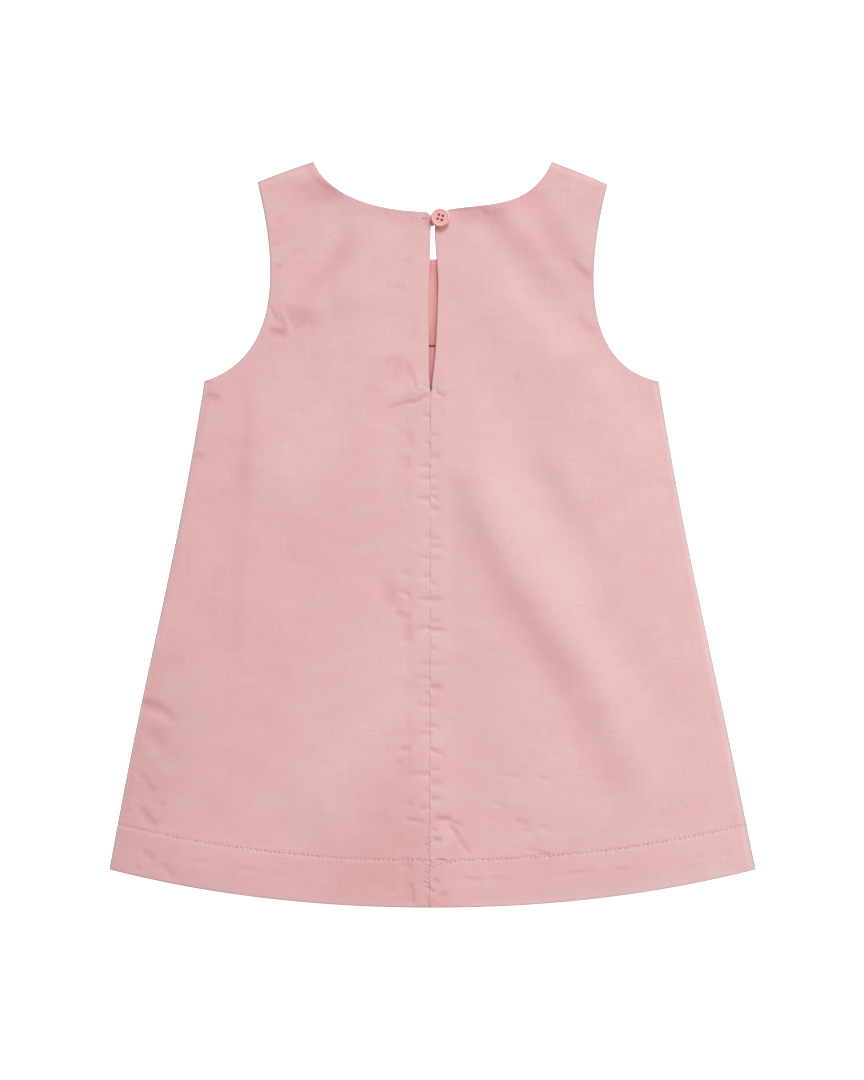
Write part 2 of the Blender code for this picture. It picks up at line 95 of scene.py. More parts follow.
# The dye, and the painted shade and light drawn with it: 0 is the lightest colour of
# the cotton, 1 the deepest.  A fade is the place where it starts and how far it takes, in
# millimetres.
MEAN_DYE = 0.40
SHADE_ON_FOLDS = 0.10             # painted shade for each millimetre of a trough, painted light for a ridge
SHADE_IN_CREASES = 0.80           # and for each millimetre of a crease
SHADE_IN_PUCKERS = 0.55
SHADE_IN_BARE_CREASE = 0.70
FRONT_SHADE = 0.85                # painted shade: the front is redder inside, away from its edges
FRONT_SHADE_WIDTH = 25.0 * MM
SLIT_EDGE_SHADOW = 0.90              # painted shadow along the lines where the slit's edges lie over it
SLIT_EDGE_SHADOW_AWAY = 0.20
SLIT_EDGE_SHADOW_WIDTH = 0.45
EDGE_LIGHT = 0.34               # painted light: how much lighter the edges are, low on the right
EDGE_LIGHT_WIDTH = 2.8 * MM
EDGE_LIGHT_ACROSS = (-90.0, 120.0)
EDGE_LIGHT_UP = (190.0, 60.0)
SEAM_FOOT_WIDTH = 14.0 * MM

# The painted shade, mostly along the edges: 1 is the greyest.
EDGE_SHADE = 0.95
EDGE_SHADE_FADE = (0.25, 0.75)
HEM_SHADE_SHARE = 0.50           # of that, along the hem
HEM_SHADE_UP = 1.6 * MM
HEM_SHADE_FROM = -125.0 * MM
CORNER_SHADE = 0.22
CORNER_SHADE_WIDTH = 6.0 * MM
CORNER_SIZE = 150.0 * MM
NECK_SHADE = 0.26
NECK_SHADE_WIDTH = 1.9 * MM
NECK_SHADE_HALF = 84.0 * MM
NECK_SHADE_FROM = 372.0 * MM
SHOULDER_SHADE = 0.36            # more of it at the left neck point
SHOULDER_SHADE_AT = -66.0
SHOULDER_SHADE_WIDTH = 9.0
SEAM_SHADE_HALF = 8.0 * MM       # none beside the seam and the lower slit
SEAM_SHADE_FROM = 5.0 * MM
SLIT_SHADE_SHARE = 0.35
SLIT_SHADE_FADE = (352.0, 8.0)
# painted shadow along the slit's edges
SLIT_EDGE_SHADOW_DARKENING = 0.30
SLIT_END_SHADE = 0.32               # painted shade where the front shows at the end of the slit
SLIT_END_SHADE_FADE = (286.0, 10.0)
SLIT_END_SHADE_WIDTH = 6.0 * MM

# How the back lies on what is below it.
HEM_DEPTH = 25.9 * MM
HEM_RELIEF = 0.25 * MM
HEM_STEP = 5.0 * MM
ALLOWANCE_HALF = 10.5 * MM
ALLOWANCE_RELIEF = 0.30 * MM
ALLOWANCE_END_FADE = 8.0 * MM   # the marks of the allowances end at the slit over this much
LOFT = 2.2 * MM
LOFT_WIDTH = 75.0 * MM
BODICE_FLAT = 80.0 * MM
BODICE_LOFT_WIDTH = 120.0 * MM
SEAM_FADE = 12.0 * MM
SEWN_SHARE = 0.1
FOLD_END = 0.3
FACING_LEVEL = 1.00
FACING_SLOPE = 0.80
LIFT_SOFTNESS = 0.15 * MM
SEWN_DROP = 0.55 * MM           # at a sewn edge the back comes down to the front
SEWN_DROP_WIDTH = 3.5 * MM
TURNED_FADE = (1.0, 6.0)        # the edges are turned in by this much
FRONT_SINK = 0.06 * MM          # the crumples lie about this far below the solids' top
FACING_SINK = 0.10 * MM
FACING_THICKNESS = 0.85 * WALL
PUCKER_TAPER = 1.3
PUCKER_ROOT = 0.6
PUCKER_ROOT_SHARE = 0.3

# The steps in from a turned edge, and the counts of the even steps between.
EDGE_ROUND = 0.50 * MM
EDGE_STEPS = np.array((0.0, 0.06, 0.18, 0.37, 0.75)) * MM
HEM_BAND_ROWS = 26
HEM_LINE_REACH = 3.0 * MM
HEM_LINE_ROWS = 14
SKIRT_ROWS = 308
BODICE_ROWS = 120
OUTER_COLUMNS = 136
SEAM_BAND_SHARE = 0.10
SEAM_BAND_COLUMNS = 32
SEAM_TIGHTNESS = 6.0            # how much smaller the edges' rounding is along the seam
UNDER_STEP = 4                  # points of the upper skin to one of the lower skin
FRONT_SKIRT_STOPS = (0.0, 0.003, 0.10, 1.0)
FRONT_SKIRT_ROWS = (3, 14, 60)
FRONT_CHEST_ROWS = 18
FRONT_NECK_ROWS = 40
FRONT_COLUMNS = 56
FRONT_EDGE_SHARES = (0.99, 0.996, 0.999, 1.0)
ARMHOLE_POINTS = 400
FACING_COLUMNS = 153
FACING_ROWS = 25

# The stitching.
HEM_STITCH_FROM = -149.0 * MM   # left of here the hem's line is a bare crease
HEM_STITCH_TO = 173.5 * MM
HEM_LINE_WANDER = 0.22 * MM
HEM_LINE_WAVE = 9.0 * MM
HEM_LINE_STEP = 1.1 * MM
HEM_LINE_STEP_WIDTH = 1.6
HEM_LINE_STEP_FADE = (10.0, 4.0)
BARE_FADE = 4.0 * MM
BARE_WIDTH = 0.55 * MM
STITCHED_FADE = 3.0 * MM
HEM_RUN_POINTS = 4000
HEM_STITCH_SINK = 0.16 * MM
SEAM_STITCH_SINK = 0.40 * MM
SEAM_STITCH_FROM = 3.0 * MM
LOOSE_BELOW = 80.0 * MM         # more of the seam's threads are loose below here
TACK_SINK = 0.12 * MM
TACK_RISE = 0.20 * MM
BINDING_RADIUS = 0.34 * MM
STITCH_STATIONS = 6
STITCH_SIDES = 6
HEM_THREAD_SHARE = 0.9          # of the thread's full radius
SEAM_THREAD_SHARE = 0.8

# The draws that make stitches uneven: a scatter is the spread of a normal draw,
# and a span is the least and the most of an even one.  Lifts are in millimetres.
HEM_END_SCATTER = 0.03          # of a stitch's ends along the line, in stitches
HEM_SWAY_SCATTER = 0.13 * MM
HEM_LIFT_SPAN = (-0.08, 0.20)
SEAM_LENGTH_SPAN = (0.6, 0.95)  # of a stitch's full length
SEAM_SWAY_SCATTER = 0.10 * MM
SEAM_LIFT_SPAN = (-0.26, 0.04)
LOOSE_SHARES = (0.7, 0.25)      # of the seam's stitches, low down and higher up
LOOSE_REACH_SPAN = (0.2, 0.8)
LOOSE_LEAN_SPAN = (-0.6, 0.9)
LOOSE_LIFT = 0.10

# The button, its thread and the loop.
BUTTON_MIDDLE = (BUTTON_LOW + BUTTON_HIGH) / 2.0
BUTTON_SIDES = 96
BUTTON_STEPS = 6                # points for each row of its section
BUTTON_SHARP = math.radians(50.0)
BUTTON_HOLE_CIRCLE = 1.65 * MM
BUTTON_HOLE_RADIUS = 0.66 * MM
BUTTON_HOLE_MOUTH = 0.935 * MM
BUTTON_HOLE_SIDES = 28
BUTTON_HOLE_TURN = math.radians(28.5)
BUTTON_HOLE_MOUTH_UP = 0.12 * MM
DRILL_REACH = 1.0 * MM          # beyond both faces of the button
TURNING_PITCH = 0.16 * MM       # of the fine lines that the lathe leaves
SHANK_TURNS = 9.0
SHANK_STATIONS = 60
SHANK_SIDES = 40
SHANK_WAIST = 0.86              # its radius at half height, as a share of its box's
SHANK_FLARE = 0.10              # more of it at both ends
SHANK_GROOVE = 0.05
HOLE_THREAD_RADIUS = 0.15 * MM
HOLE_THREAD_GAP = 0.30 * MM
HOLE_THREAD_DIP = 0.22 * MM     # below the button's dish
HOLE_THREAD_SQUARENESS = 0.35
HOLE_THREAD_STATIONS = 26
HOLE_THREAD_SIDES = 10
HOLE_THREAD_INSET = 0.03        # of the way between two holes, at both ends
LOOP_STATIONS = 150
LOOP_SIDES = 24
LOOP_TWIST = 2.4 * MM
LOOP_PLIES = 3
LOOP_WAIST = 0.80               # its radius between two plies, as a share of the cord's
LOOP_RIB = 0.20                 # more of it on a ply
LOOP_END_SHARE = 0.6            # of its radius, where it is sewn in
THREAD_PATTERN = 3.0 * MM       # length of the loop to one repeat of its pattern
SHANK_PATTERN = 1.6 * MM

# Floor, light and camera.
FLOOR_HALF = 12.0
FLOOR_DROP = 0.05 * MM
SKY_COLOUR = (1.66, 0.985, 0.93, 1.0)
KEY_COLOUR = (0.74, 0.985, 1.0)
FILL_COLOUR = (0.74, 0.99, 1.0)
WHITE = (1.0, 1.0, 1.0, 1.0)
SENSOR = 36.0
CAMERA_AIM = (-0.3 * MM, -3.1 * MM)
CLOTH_HEIGHT = 3.5 * MM
CAMERA_CLIP = (0.05, 60.0)

# The seeds of the random draws.
HEM_LINE_SEED = 31
ALLOWANCE_SEED = 32
HEM_PATCH_SEED = 33
HEM_STITCH_SEED = 51
SEAM_STITCH_SEED = 52
SCATTER_SEED = 21

# --------------------------------------------------------------- short tables


def rows_of(kind, table):
    """Each row of numbers of a table as one of a kind."""
    return [kind(*row) for row in table]


# The cut of the front (0) and of the back's left (-1) and right (+1) halves, in
# millimetres: the corners, the pulls of the armhole's and of the neckline's curve,
# and how far the side seam bows in and then sways.
Cut = namedtuple("Cut", "underarm arm_point arm_pulls neck_pulls side_bow side_sway")
CUTS = {
    0: Cut((124.0, 288.6), (95.6, 397.0), ((77.0, 303.5), (85.5, 356.0)), None, 2.2, 0.5),
    -1: Cut((125.6, 289.7), (96.4, 399.1), ((79.8, 304.3), (86.8, 361.2)),
            ((56.7, 388.5), (23.9, 383.0)), 0.7, 0.9),
    +1: Cut((124.5, 289.5), (96.4, 397.9), ((82.8, 298.6), (83.8, 349.2)),
            ((53.1, 381.7), (26.3, 388.4)), 1.3, 0.6),
}

SlitRow = namedtuple("SlitRow", "up left right")
SLIT = rows_of(SlitRow, (
    (283, -1.35, -1.05), (284.6, -1.5, -0.5), (288, -1.75, -0.35), (292, -2, 0),
    (297.6, -2.05, 0.7), (304.2, -2.05, 1.35), (314, -2.2, 2), (324, -2.5, 2.4),
    (334, -2.45, 2.75), (343.8, -2.25, 2.95), (350.4, -1.85, 2.6), (357, -1.35, 2.2),
    (364.7, -1.15, 1.55), (372.8, -0.95, 1.22), (376, -0.8, 1.2), (379.4, -0.8, 1.2),
    (381.4, -1.5, 1.5), (382.8, -3.6, 2.2),
))

# Folds of the back.  Each runs from one point to another, bows to its left, and
# swells to `height` at its middle: a ridge, or a trough where the height is
# below 0.  It falls away over `left` on its left and over `right` on its right.
Fold = namedtuple("Fold", "from_across from_up to_across to_up bow left right height")
FOLDS = rows_of(Fold, (
    # The long diagonal ridge, its lower half and the hollow at its foot.
    (8, 266, 92, 122, -9, 25, 16, 2.6), (67, 160, 126, 42, 5, 17, 17, 2),
    (-4, 250, 112, 44, -1, 10, 12, -0.9),
    # Ridges above its upper end, and below and left of it.
    (6, 312, 56, 204, 2, 14, 22, 0.65), (20, 190, 96, 30, 2, 20, 26, 1),
    # The ridge to the right underarm, and two at the right shoulder.
    (6, 366, 122, 246, 2, 13, 28, 1.1), (34, 391, 81, 336, -1, 12, 10, 1.3),
    (56, 394, 95, 342, -2, 17, 9, 1.3),
    # A soft ridge in the right half, and the lift of the right neckline.
    (54, 262, 100, 190, 2, 12, 9, 0.7), (8, 389, 50, 387, -1, 8, 8, 1.6),
    # The lift of the left neckline, the ridge below it and one at the left armhole.
    (-80, 412, -32, 390, -1, 9, 10, 2.1), (-32, 390, -66, 326, 2, 20, 8, 1.3),
    (-93, 331, -54, 329, 1, 12, 8, 1.3),
    # A long soft ridge on the left side, and the swag across the left half.
    (-94, 316, -106, 120, 1, 16, 6.5, 0.75), (-112, 236, -10, 268, -20, 36, 28, 1.6),
    # Swells above the left hem and by the left side.
    (-84, 38, 6, 112, -4, 34, 26, 1.8), (-146, 170, -132, -10, 4, 30, 24, 1.6),
))

# Patches of painted shade, and of painted light where `depth` is below 0:
# ellipses with their long axis turned to the left from the way up.
Tone = namedtuple("Tone", "across up half_across half_up turn depth")
SHADE_TONES = rows_of(Tone, (
    # By the foot of the seam.
    (-24, 22, 34, 44, -24, 0.42), (-15, 76, 8, 15, -28, 0.3), (-12, 27, 8, 4, 0, -0.14),
    (-28, 62, 12, 20, 0, 0.14), (6, 60, 14, 7, 0, -0.24), (-20, 100, 13, 20, -12, 0.14),
    # In the big tuck above the hem, and on the smooth roll below it.
    (1.5, 47.6, 4, 2, 0, 0.22), (8, 42, 5, 5, 0, 0.16), (4, 38, 5, 8, 0, -0.26),
    # The lower left corner.
    (-166, 68, 26, 66, -12, 0.36), (-154, 112, 7.5, 3, -12, 0.5), (-163, 80, 5, 9, 24, -0.16),
    (-147, 101, 7, 7, 0, 0.18), (-158, 55, 6, 5, 0, -0.2), (-158, 102, 4, 6, 0, -0.2),
    (-142, 136, 9, 6, 0, 0.18), (-152, 147, 6, 4, 0, -0.14), (-146, 80, 9, 14, 0, 0.12),
    (-141, 142, 8, 9, 0, 0.14), (-137, 72, 4, 5, 0, 0.12), (-120, 56, 14, 8, 0, 0.14),
    # The left side.
    (-116, 150, 26, 110, -8, 0.16), (-110, 137, 6, 16, 0, 0.12), (-102, 262, 3, 40, -2, 0.12),
    (-92, 262, 14, 12, 0, 0.12), (-122, 280.5, 5.5, 3, -18, 0.4), (-62, 336, 7, 5, 0, 0.12),
    (-128.5, 247, 3, 2.4, 0, 0.3), (-58, 198, 42, 32, 20, 0.08), (-86, 130, 10, 14, 0, 0.12),
    (-86, 99, 14, 10, 0, 0.14), (-108, 46, 26, 12, 0, 0.14), (-110, 74, 22, 18, 0, 0.12),
    (-89, 58, 8, 6, 0, -0.2), (-71, 39, 8, 5, 0, -0.12), (-114, 186, 12, 16, 0, -0.14),
    (-36, 232, 12, 15, 0, 0.12), (-116, 100, 34, 56, 0, 0.1), (-96, 16, 80, 12, -6, 0.18),
    (-72, 44, 20, 8, 0, -0.14),
    # The shallow swath from the slit's foot, and the left half beside it.
    (-44, 247, 11, 44, -32, 0.24), (-21, 296, 9, 6, 0, 0.22), (-26, 307, 20, 5, 0, -0.14),
    (-31, 287, 4.5, 4.5, 0, 0.14), (4, 281, 5, 3, 0, 0.26), (-28, 130, 18, 46, 0, -0.1),
    (-68, 278, 26, 34, 0, -0.12), (-86, 258, 10, 8, 0, 0.14), (-24, 348, 22, 34, 0, -0.1),
    (-32, 317, 30, 8, 0, -0.12),
    # Over the seam's allowance.
    (-2, 222, 13, 66, 0, -0.22), (-17, 238, 4, 32, 0, 0.14), (-4, 146, 14, 12, 0, -0.14),
    (-10, 98, 10, 6, 0, 0.26), (-20.5, 173, 5, 11, -8, 0.22), (-13.6, 150, 3, 7, 0, 0.14),
    # The head of the long ridge's shadow.
    (20, 233, 9, 7, 0, 0.4), (27, 210, 5, 15, 18, 0.2), (14, 217, 7, 12, 30, -0.18),
    # Along the long ridge.
    (66, 196, 13, 42, 32, -0.24), (45, 222, 8, 14, 30, -0.12), (28, 262, 11, 30, 22, -0.1),
    (26, 276, 7, 9, 0, -0.14), (21, 304, 12, 5, 0, -0.1), (53, 160, 12, 42, 35, 0.34),
    (75, 134, 6, 22, 38, 0.26), (41, 146, 6, 14, 14, 0.16), (43, 209, 5, 10, 24, -0.14),
    (62, 112, 8, 8, 0, 0.1), (92, 108, 6, 10, 20, 0.14), (105, 78, 7, 10, 20, 0.18),
    (36, 165, 5, 10, 10, 0.14), (58, 166, 5, 16, 36, 0.18), (48, 238, 10, 6, 0, 0.1),
    (85, 84, 7, 20, 32, 0.26), (48, 100, 16, 30, 25, -0.12), (62, 59, 22, 11, 0, -0.22),
    (119, 90, 12, 14, 0, 0.22),
    # The softer band beside it, and the right side.
    (70, 236, 8, 34, 28, 0.2), (91, 222, 8, 9, 20, 0.26), (98, 168, 8, 12, 0, 0.16),
    (82, 297, 8, 8, 0, 0.2), (68, 305, 6, 5, 0, -0.16), (78, 362, 6, 4, 0, 0.2),
    (122, 225, 12, 34, 12, -0.1), (119, 257, 12, 10, 0, -0.2), (97, 256, 18, 12, 0, -0.12),
    (58, 294, 14, 12, 0, 0.1), (104, 53, 22, 11, 0, -0.14), (60, 330, 10, 44, 42, -0.14),
    # Below the left neckline.
    (-62, 405, 7, 5, 0, 0.36), (-61, 394, 15, 7, 30, 0.32), (-36, 383.5, 12, 3.4, -10, 0.34),
    (-20, 379.5, 16, 4, -4, 0.26), (-55, 386, 7, 4, 0, -0.3), (-48, 362, 7, 15, -32, 0.34),
    (-67, 341, 6, 14, -50, 0.3), (-57, 366, 5, 16, -34, -0.16), (-60, 320, 8, 5, 0, 0.12),
    (-45, 332, 12, 5, 0, 0.1), (-54, 393.5, 6, 4, 30, 0.26), (-34, 374, 5, 4, 0, 0.22),
    (-51, 386, 7, 3, 0, -0.18), (-67.5, 407.5, 4, 4, 0, 0.5),
    # At the left armhole.
    (-86, 316.5, 6, 2.8, 6, 0.46), (-73, 325, 9, 6, -12, 0.34), (-88, 331, 4, 9, 20, -0.3),
    (-89, 348, 4, 5, 0, 0.12),
    # Below the right neckline.
    (27, 384, 16, 4.5, 4, 0.52), (24, 371, 9, 6, -28, -0.3), (44, 393, 4, 14, -62, 0.46),
    (31, 380, 8, 5, -20, 0.18), (-3.5, 378, 5, 5, 0, -0.36),
    # At the right shoulder.
    (51, 364, 7, 24, 44, 0.3), (63, 333, 5, 12, 44, 0.12), (70, 366, 8, 24, 37, 0.34),
    (72, 348, 4, 12, 44, -0.2), (85.5, 349, 3.4, 7, 46, 0.2), (87, 325, 4, 4, 0, -0.2),
    (57, 391, 8, 6, 0, 0.3), (69, 376, 6.5, 19, 32, 0.36), (43, 388, 9, 5, 28, 0.36),
    (84, 386, 9, 7, 0, 0.16), (92, 398, 6, 4, 0, 0.16), (84, 320, 7, 6, 0, 0.18),
    # In the right hem and above it.
    (58, 28, 16, 3, 4, 0.3), (60, 40, 22, 2.6, 4, -0.18), (52, 52, 14, 3, 0, 0.16),
    (62, 22, 26, 6, 0, 0.1), (60, 73, 8, 8, 0, -0.14), (28, 22, 9, 9, 0, -0.16),
    (106, 20, 40, 8, 6, 0.16), (158, 28, 18, 10, 12, -0.12), (140, 14, 34, 8, 12, -0.18),
    (4, 3, 8, 3, 0, 0.24),
))

# Patches where the cotton is drawn a little greyer.
GREY_PATCHES = rows_of(Tone, (
    # The right strap, and the lower left.
    (81, 375, 13, 26, 24, 0.12), (-142, 92, 20, 62, -12, 0.09), (-118, 60, 14, 18, 0, 0.06),
    # Beside the long fold.
    (74, 240, 20, 26, 30, 0.06), (112, 140, 12, 50, 24, 0.05),
    # Below the left neckline, and by the left underarm.
    (-36, 379, 20, 7, -8, 0.08), (-128, 280, 8, 16, 0, 0.08),
))

# The finer creases, which aren't in the solids: told in the same way.
CREASES = rows_of(Fold, (
    # The hollow from the slit's foot, the roll above it and the sharp lines in it.
    (-2, 283.5, -36, 266, 1, 3.5, 3.5, -0.22), (-1, 294, -32, 280, 1.5, 6, 5, 0.35),
    (-0.4, 283.2, -13.5, 275.9, 0.5, 0.7, 1.3, -0.6),
    (-9, 278.2, -26.5, 272.6, -0.8, 0.8, 1.5, -0.4), (-2, 280.6, -15, 273.6, 0.5, 1.2, 1.2, 0.12),
    # Small curls left and right of the slit's foot.
    (-0.8, 284.2, -8.2, 287.9, -0.9, 0.6, 0.7, -0.3),
    (-11.2, 294, -9.6, 284, 0.4, 1.3, 1.3, -0.26), (0.2, 285.8, 3.4, 283.8, 0.2, 0.7, 0.7, -0.34),
    (0.2, 282.6, 7.2, 280.4, 0.3, 1.3, 0.7, -0.38), (-0.2, 281, 4.5, 279.4, 0.3, 0.9, 0.9, 0.1),
    (-7, 269.7, -3.2, 270.7, 0.2, 1, 1, -0.22), (4.2, 270.6, 6.4, 270.9, 0.1, 1, 1, -0.16),
    # Wrinkles by the left side seam, low and below the underarm.
    (-163, 113, -146.5, 109.5, -0.8, 2.4, 3.6, -0.55),
    (-149.5, 111, -140.5, 102, -0.6, 2, 3.2, -0.4), (-160, 106, -143, 99, 0.6, 3.5, 4, 0.25),
    (-158, 98, -146, 86, 1, 3, 5, -0.3), (-163, 92, -141, 66, 1, 5, 4, 0.32),
    (-128, 224, -124, 221, 0.3, 1.5, 1.5, -0.12),
    (-131.5, 249.5, -126, 246, 0.3, 1.6, 2.2, -0.32),
    (-125.5, 282, -117, 279, 0.4, 1.6, 2.6, -0.46),
    # The small arch and the faint lines beside the slit.
    (-29, 298, -16, 301.5, 1, 2, 4, -0.22), (-15.5, 301.5, -12, 286, 1.2, 1.4, 4, -0.26),
    (-28, 342, -14, 339.5, 0.3, 1.8, 3, -0.16), (-19, 354.5, -10, 354, 0.3, 1.5, 1.5, -0.12),
    # Dimples at the left shoulder, and the thin ridge and the tucks at the armhole.
    (-49, 394, -64, 390, 0.8, 5, 5, -0.2), (-42, 374, -76, 334, 5, 7, 7, -0.24),
    (-84, 330, -77.6, 313.5, 0.4, 1.5, 1.7, 0.36),
    (-90.6, 332.5, -85.6, 321.5, 0.2, 0.8, 1, -0.4),
    (-91.5, 317.5, -80, 314.5, 0.3, 1.6, 2.8, -0.42),
    (-83, 354.5, -90, 348.5, 0.4, 2.2, 1.4, -0.4), (-82, 377.5, -88, 376.5, 0.3, 1.4, 1.4, -0.22),
    (-84, 366, -89.5, 363, 0.2, 1.8, 1.2, -0.26), (-80, 359, -68, 361.5, 0.3, 1.8, 2.6, -0.22),
    # Tucks below the neckline.
    (-27.5, 383.5, -24, 378, 0.2, 1.2, 1.2, -0.26),
    (-38, 384.6, -6, 380.6, -0.8, 1.4, 1.4, -0.16), (10, 381.6, 24, 384.8, 0.4, 1.4, 1.6, -0.22),
    (24, 385.4, 30.5, 379.5, 0.3, 1.4, 1.6, -0.26), (28, 386, 56, 398, -2, 1.6, 1.8, -0.52),
    (12, 383.4, 30, 386, -0.4, 1.6, 2, -0.24), (-70, 405.5, -51, 391.5, -1.5, 2, 2.6, -0.34),
    # Small tucks at the right shoulder and the right armhole.
    (66, 392.6, 77, 394.6, 0.3, 1.4, 1.4, -0.14), (77, 385.8, 91, 386.2, 0.3, 1.5, 1.5, -0.14),
    (74, 359, 89, 343.5, -0.8, 1.8, 2.6, -0.34), (78, 325.5, 90, 314, 0.3, 2, 3.4, -0.22),
    # The soft fold above the left hem, and the small lines in that hem.
    (-164, 77, -151, 60, 0.5, 1.6, 2.6, -0.34), (-149.6, 57.8, -147.6, 54.6, 0.1, 1.2, 1.2, -0.3),
    (-163.5, 57.5, -151, 41.5, 0.8, 1.8, 3, -0.44),
    (-168.5, 53.6, -165.5, 51.6, 0.1, 1.2, 1.2, -0.26),
    (-160, 32.5, -153, 24.6, 0.3, 1.5, 2.8, -0.34), (-151, 25, -141.5, 14, 0.4, 2.8, 1.6, -0.32),
    (-163.5, 23.5, -161, 19.5, 0.2, 1.2, 1.2, -0.22),
    (-138, 25.5, -122.5, 25, 0.3, 1.3, 1.3, -0.12), (-111, 22, -95, 20.5, 0.3, 1.5, 1.5, -0.14),
    (-26.5, 9.3, -20, 9, 0.2, 1.3, 1.3, -0.14),
    # Over the left allowance's edge, from the slit's foot down to the hem.
    (-15.4, 267.6, -13.4, 267.4, 0.1, 1.3, 1.3, -0.2),
    (-12.8, 263.4, -12.4, 250, 0.3, 1.6, 4, -0.24),
    (-14.2, 249.5, -13.9, 238, 0.3, 1.6, 4, -0.24),
    (-18.6, 183.4, -12.2, 183.3, 0.3, 1.4, 1.4, -0.26),
    (-24.8, 182.5, -20.5, 163, -1.4, 3.2, 4.6, -0.32),
    (-21.5, 163.6, -11, 158.8, -1, 2.2, 3.6, -0.42),
    (-19.2, 174.8, -11.4, 170, 0.3, 1.2, 1.2, -0.36),
    (-13.9, 157, -13.6, 143, 0.4, 2, 4.4, -0.32), (-19.2, 87.4, -11.2, 86, 0.3, 1.8, 1.8, -0.42),
    (-20.6, 79.3, -16, 78.8, 0.2, 1.4, 1.4, -0.26),
    (-13.6, 59.2, -12.4, 54.8, 0.2, 1.4, 1.4, -0.24),
    # The big tuck above the hem, the smooth roll below it and the lines around.
    (-0.6, 48.4, 12, 47.4, 0.5, 2, 1.4, -0.62), (10, 47.2, 17.6, 43.4, 0.3, 0.9, 1, -0.3),
    (1.5, 45, 9, 31, 2, 4.5, 5, 0.34), (7.6, 46, 14, 36.5, 0.8, 2.2, 1.2, -0.4),
    (13, 38.4, 21, 27.6, 0.3, 1.8, 1.2, -0.42), (-0.8, 43.4, 3.4, 40.9, 0.2, 0.9, 1.2, -0.36),
    (-1, 37.5, 5.8, 35.9, 0.4, 1.4, 1.8, -0.42), (-16.4, 48.4, -2.8, 46.6, 0.3, 1.2, 1.6, -0.36),
    (-8.6, 53.8, -3.2, 53.6, 0.2, 1.2, 1.4, -0.28),
    # Dents in the hem by the seam.
    (-19.2, 24, -10.4, 22, 0.4, 2.4, 2.4, -0.34), (-12.1, 15, -11.1, 0.6, 0.2, 1.4, 4.5, -0.5),
    (-3.2, 12.6, 2, 8.2, -0.6, 0.9, 1.2, -0.48), (2.6, 4.4, 8.6, 8.4, 0.3, 1.6, 2, -0.5),
    (-3.6, 7.2, -3.6, 2.2, 0.1, 0.8, 0.8, -0.26), (-0.8, 14.6, 4.6, 14, 0.2, 1.6, 1.8, -0.4),
    (1, 26.5, 9, 25.5, 0.2, 0.7, 0.8, -0.55), (-19, 27, -10, 26.6, 0.2, 0.7, 0.8, -0.2),
    # Small lines in the right hem and above it.
    (15.7, 15.6, 28, 15, 0.2, 1.2, 1.2, -0.26), (28, 15.6, 45, 15, 0.3, 1.3, 1.3, -0.2),
    (65, 17, 93, 20.6, 0.3, 1, 1.1, -0.22), (99, 20.6, 108.5, 21.4, 0.2, 0.9, 1.1, -0.24),
    (50.5, 31.8, 62, 30.4, 0.2, 0.9, 1.2, -0.26), (47, 42.4, 56, 41.6, 0.2, 0.9, 1.1, -0.2),
    (31.6, 58.8, 40, 54.6, 0.3, 1, 1.2, -0.22), (34.6, 72.8, 50, 71.4, 0.2, 1, 1.2, -0.18),
    (56, 72.2, 66, 69.8, 0.2, 1, 1.3, -0.22), (56, 44.5, 65, 44, 0.2, 1.4, 1.8, -0.22),
    (44, 47.8, 54, 45, 0.4, 1.6, 2.4, -0.3), (57, 28.6, 66, 29.4, 0.2, 1.2, 1.6, -0.34),
))

# Puckers along the centre seam: `side` is the half they are on, and a pucker
# leans up by `lean` for each millimetre away from the seam.
Pucker = namedtuple("Pucker", "up side reach half_width depth lean")
PUCKERS = rows_of(Pucker, (
    (269.8, -1, 4.5, 1.3, 0.36, 0), (259.3, +1, 7.5, 1.4, 0.32, 0),
    (254.9, -1, 4.5, 1.4, 0.36, 0), (247.2, +1, 7, 2.2, 0.46, 0.1),
    (242.3, -1, 9.5, 1.4, 0.36, 0), (236.2, +1, 7, 1.3, 0.28, 0), (235.1, -1, 11, 1.5, 0.36, 0.1),
    (229.6, +1, 7, 1.3, 0.32, 0), (226.3, +1, 7.5, 1.3, 0.36, -0.6),
    (224.1, -1, 13, 1.6, 0.41, 0.1), (218.6, +1, 8, 1.6, 0.46, 0), (203.5, -1, 5.5, 1.3, 0.32, 0),
    (202.7, +1, 8, 1.5, 0.36, 0), (198.3, +1, 9, 1.4, 0.36, -0.1),
    (191.9, -1, 10, 1.4, 0.32, 0.1), (191.5, +1, 8, 1.4, 0.32, 0), (181.8, -1, 8, 1.3, 0.28, 0),
    (177.6, +1, 5, 1.3, 0.36, 0), (169.1, -1, 10.5, 1.6, 0.41, 0),
    (168.6, +1, 8.5, 2.1, 0.5, 0.1), (157, +1, 7.5, 1.4, 0.36, 0),
    (153.7, -1, 12, 1.6, 0.41, -0.1), (152.1, +1, 12, 1.7, 0.68, 0), (142.2, +1, 6, 1.3, 0.32, 0),
    (133.4, -1, 9.5, 1.4, 0.32, 0), (132.8, +1, 12, 1.5, 0.28, 0.1),
    (125.7, -1, 9.5, 1.4, 0.36, 0), (120.7, +1, 9.5, 2.3, 0.64, 0), (116.9, -1, 5, 1.3, 0.32, 0),
    (110.4, +1, 5, 1.3, 0.32, 0), (110.2, -1, 10.5, 1.5, 0.36, 0.1),
    (99.8, +1, 7.5, 1.4, 0.36, -0.3), (99.6, -1, 9, 1.4, 0.28, 0), (95.4, -1, 10, 1.4, 0.32, 0),
    (86.6, +1, 10, 1.5, 0.46, -0.4), (75.6, +1, 8, 1.4, 0.36, 0), (73, -1, 15, 1.8, 0.44, 0),
    (68, +1, 9, 2.4, 0.5, 0), (59.2, +1, 8.5, 2, 0.5, 0), (54.7, -1, 7, 1.4, 0.32, 0),
    (63.5, -1, 5, 1.4, 0.3, 0),
))

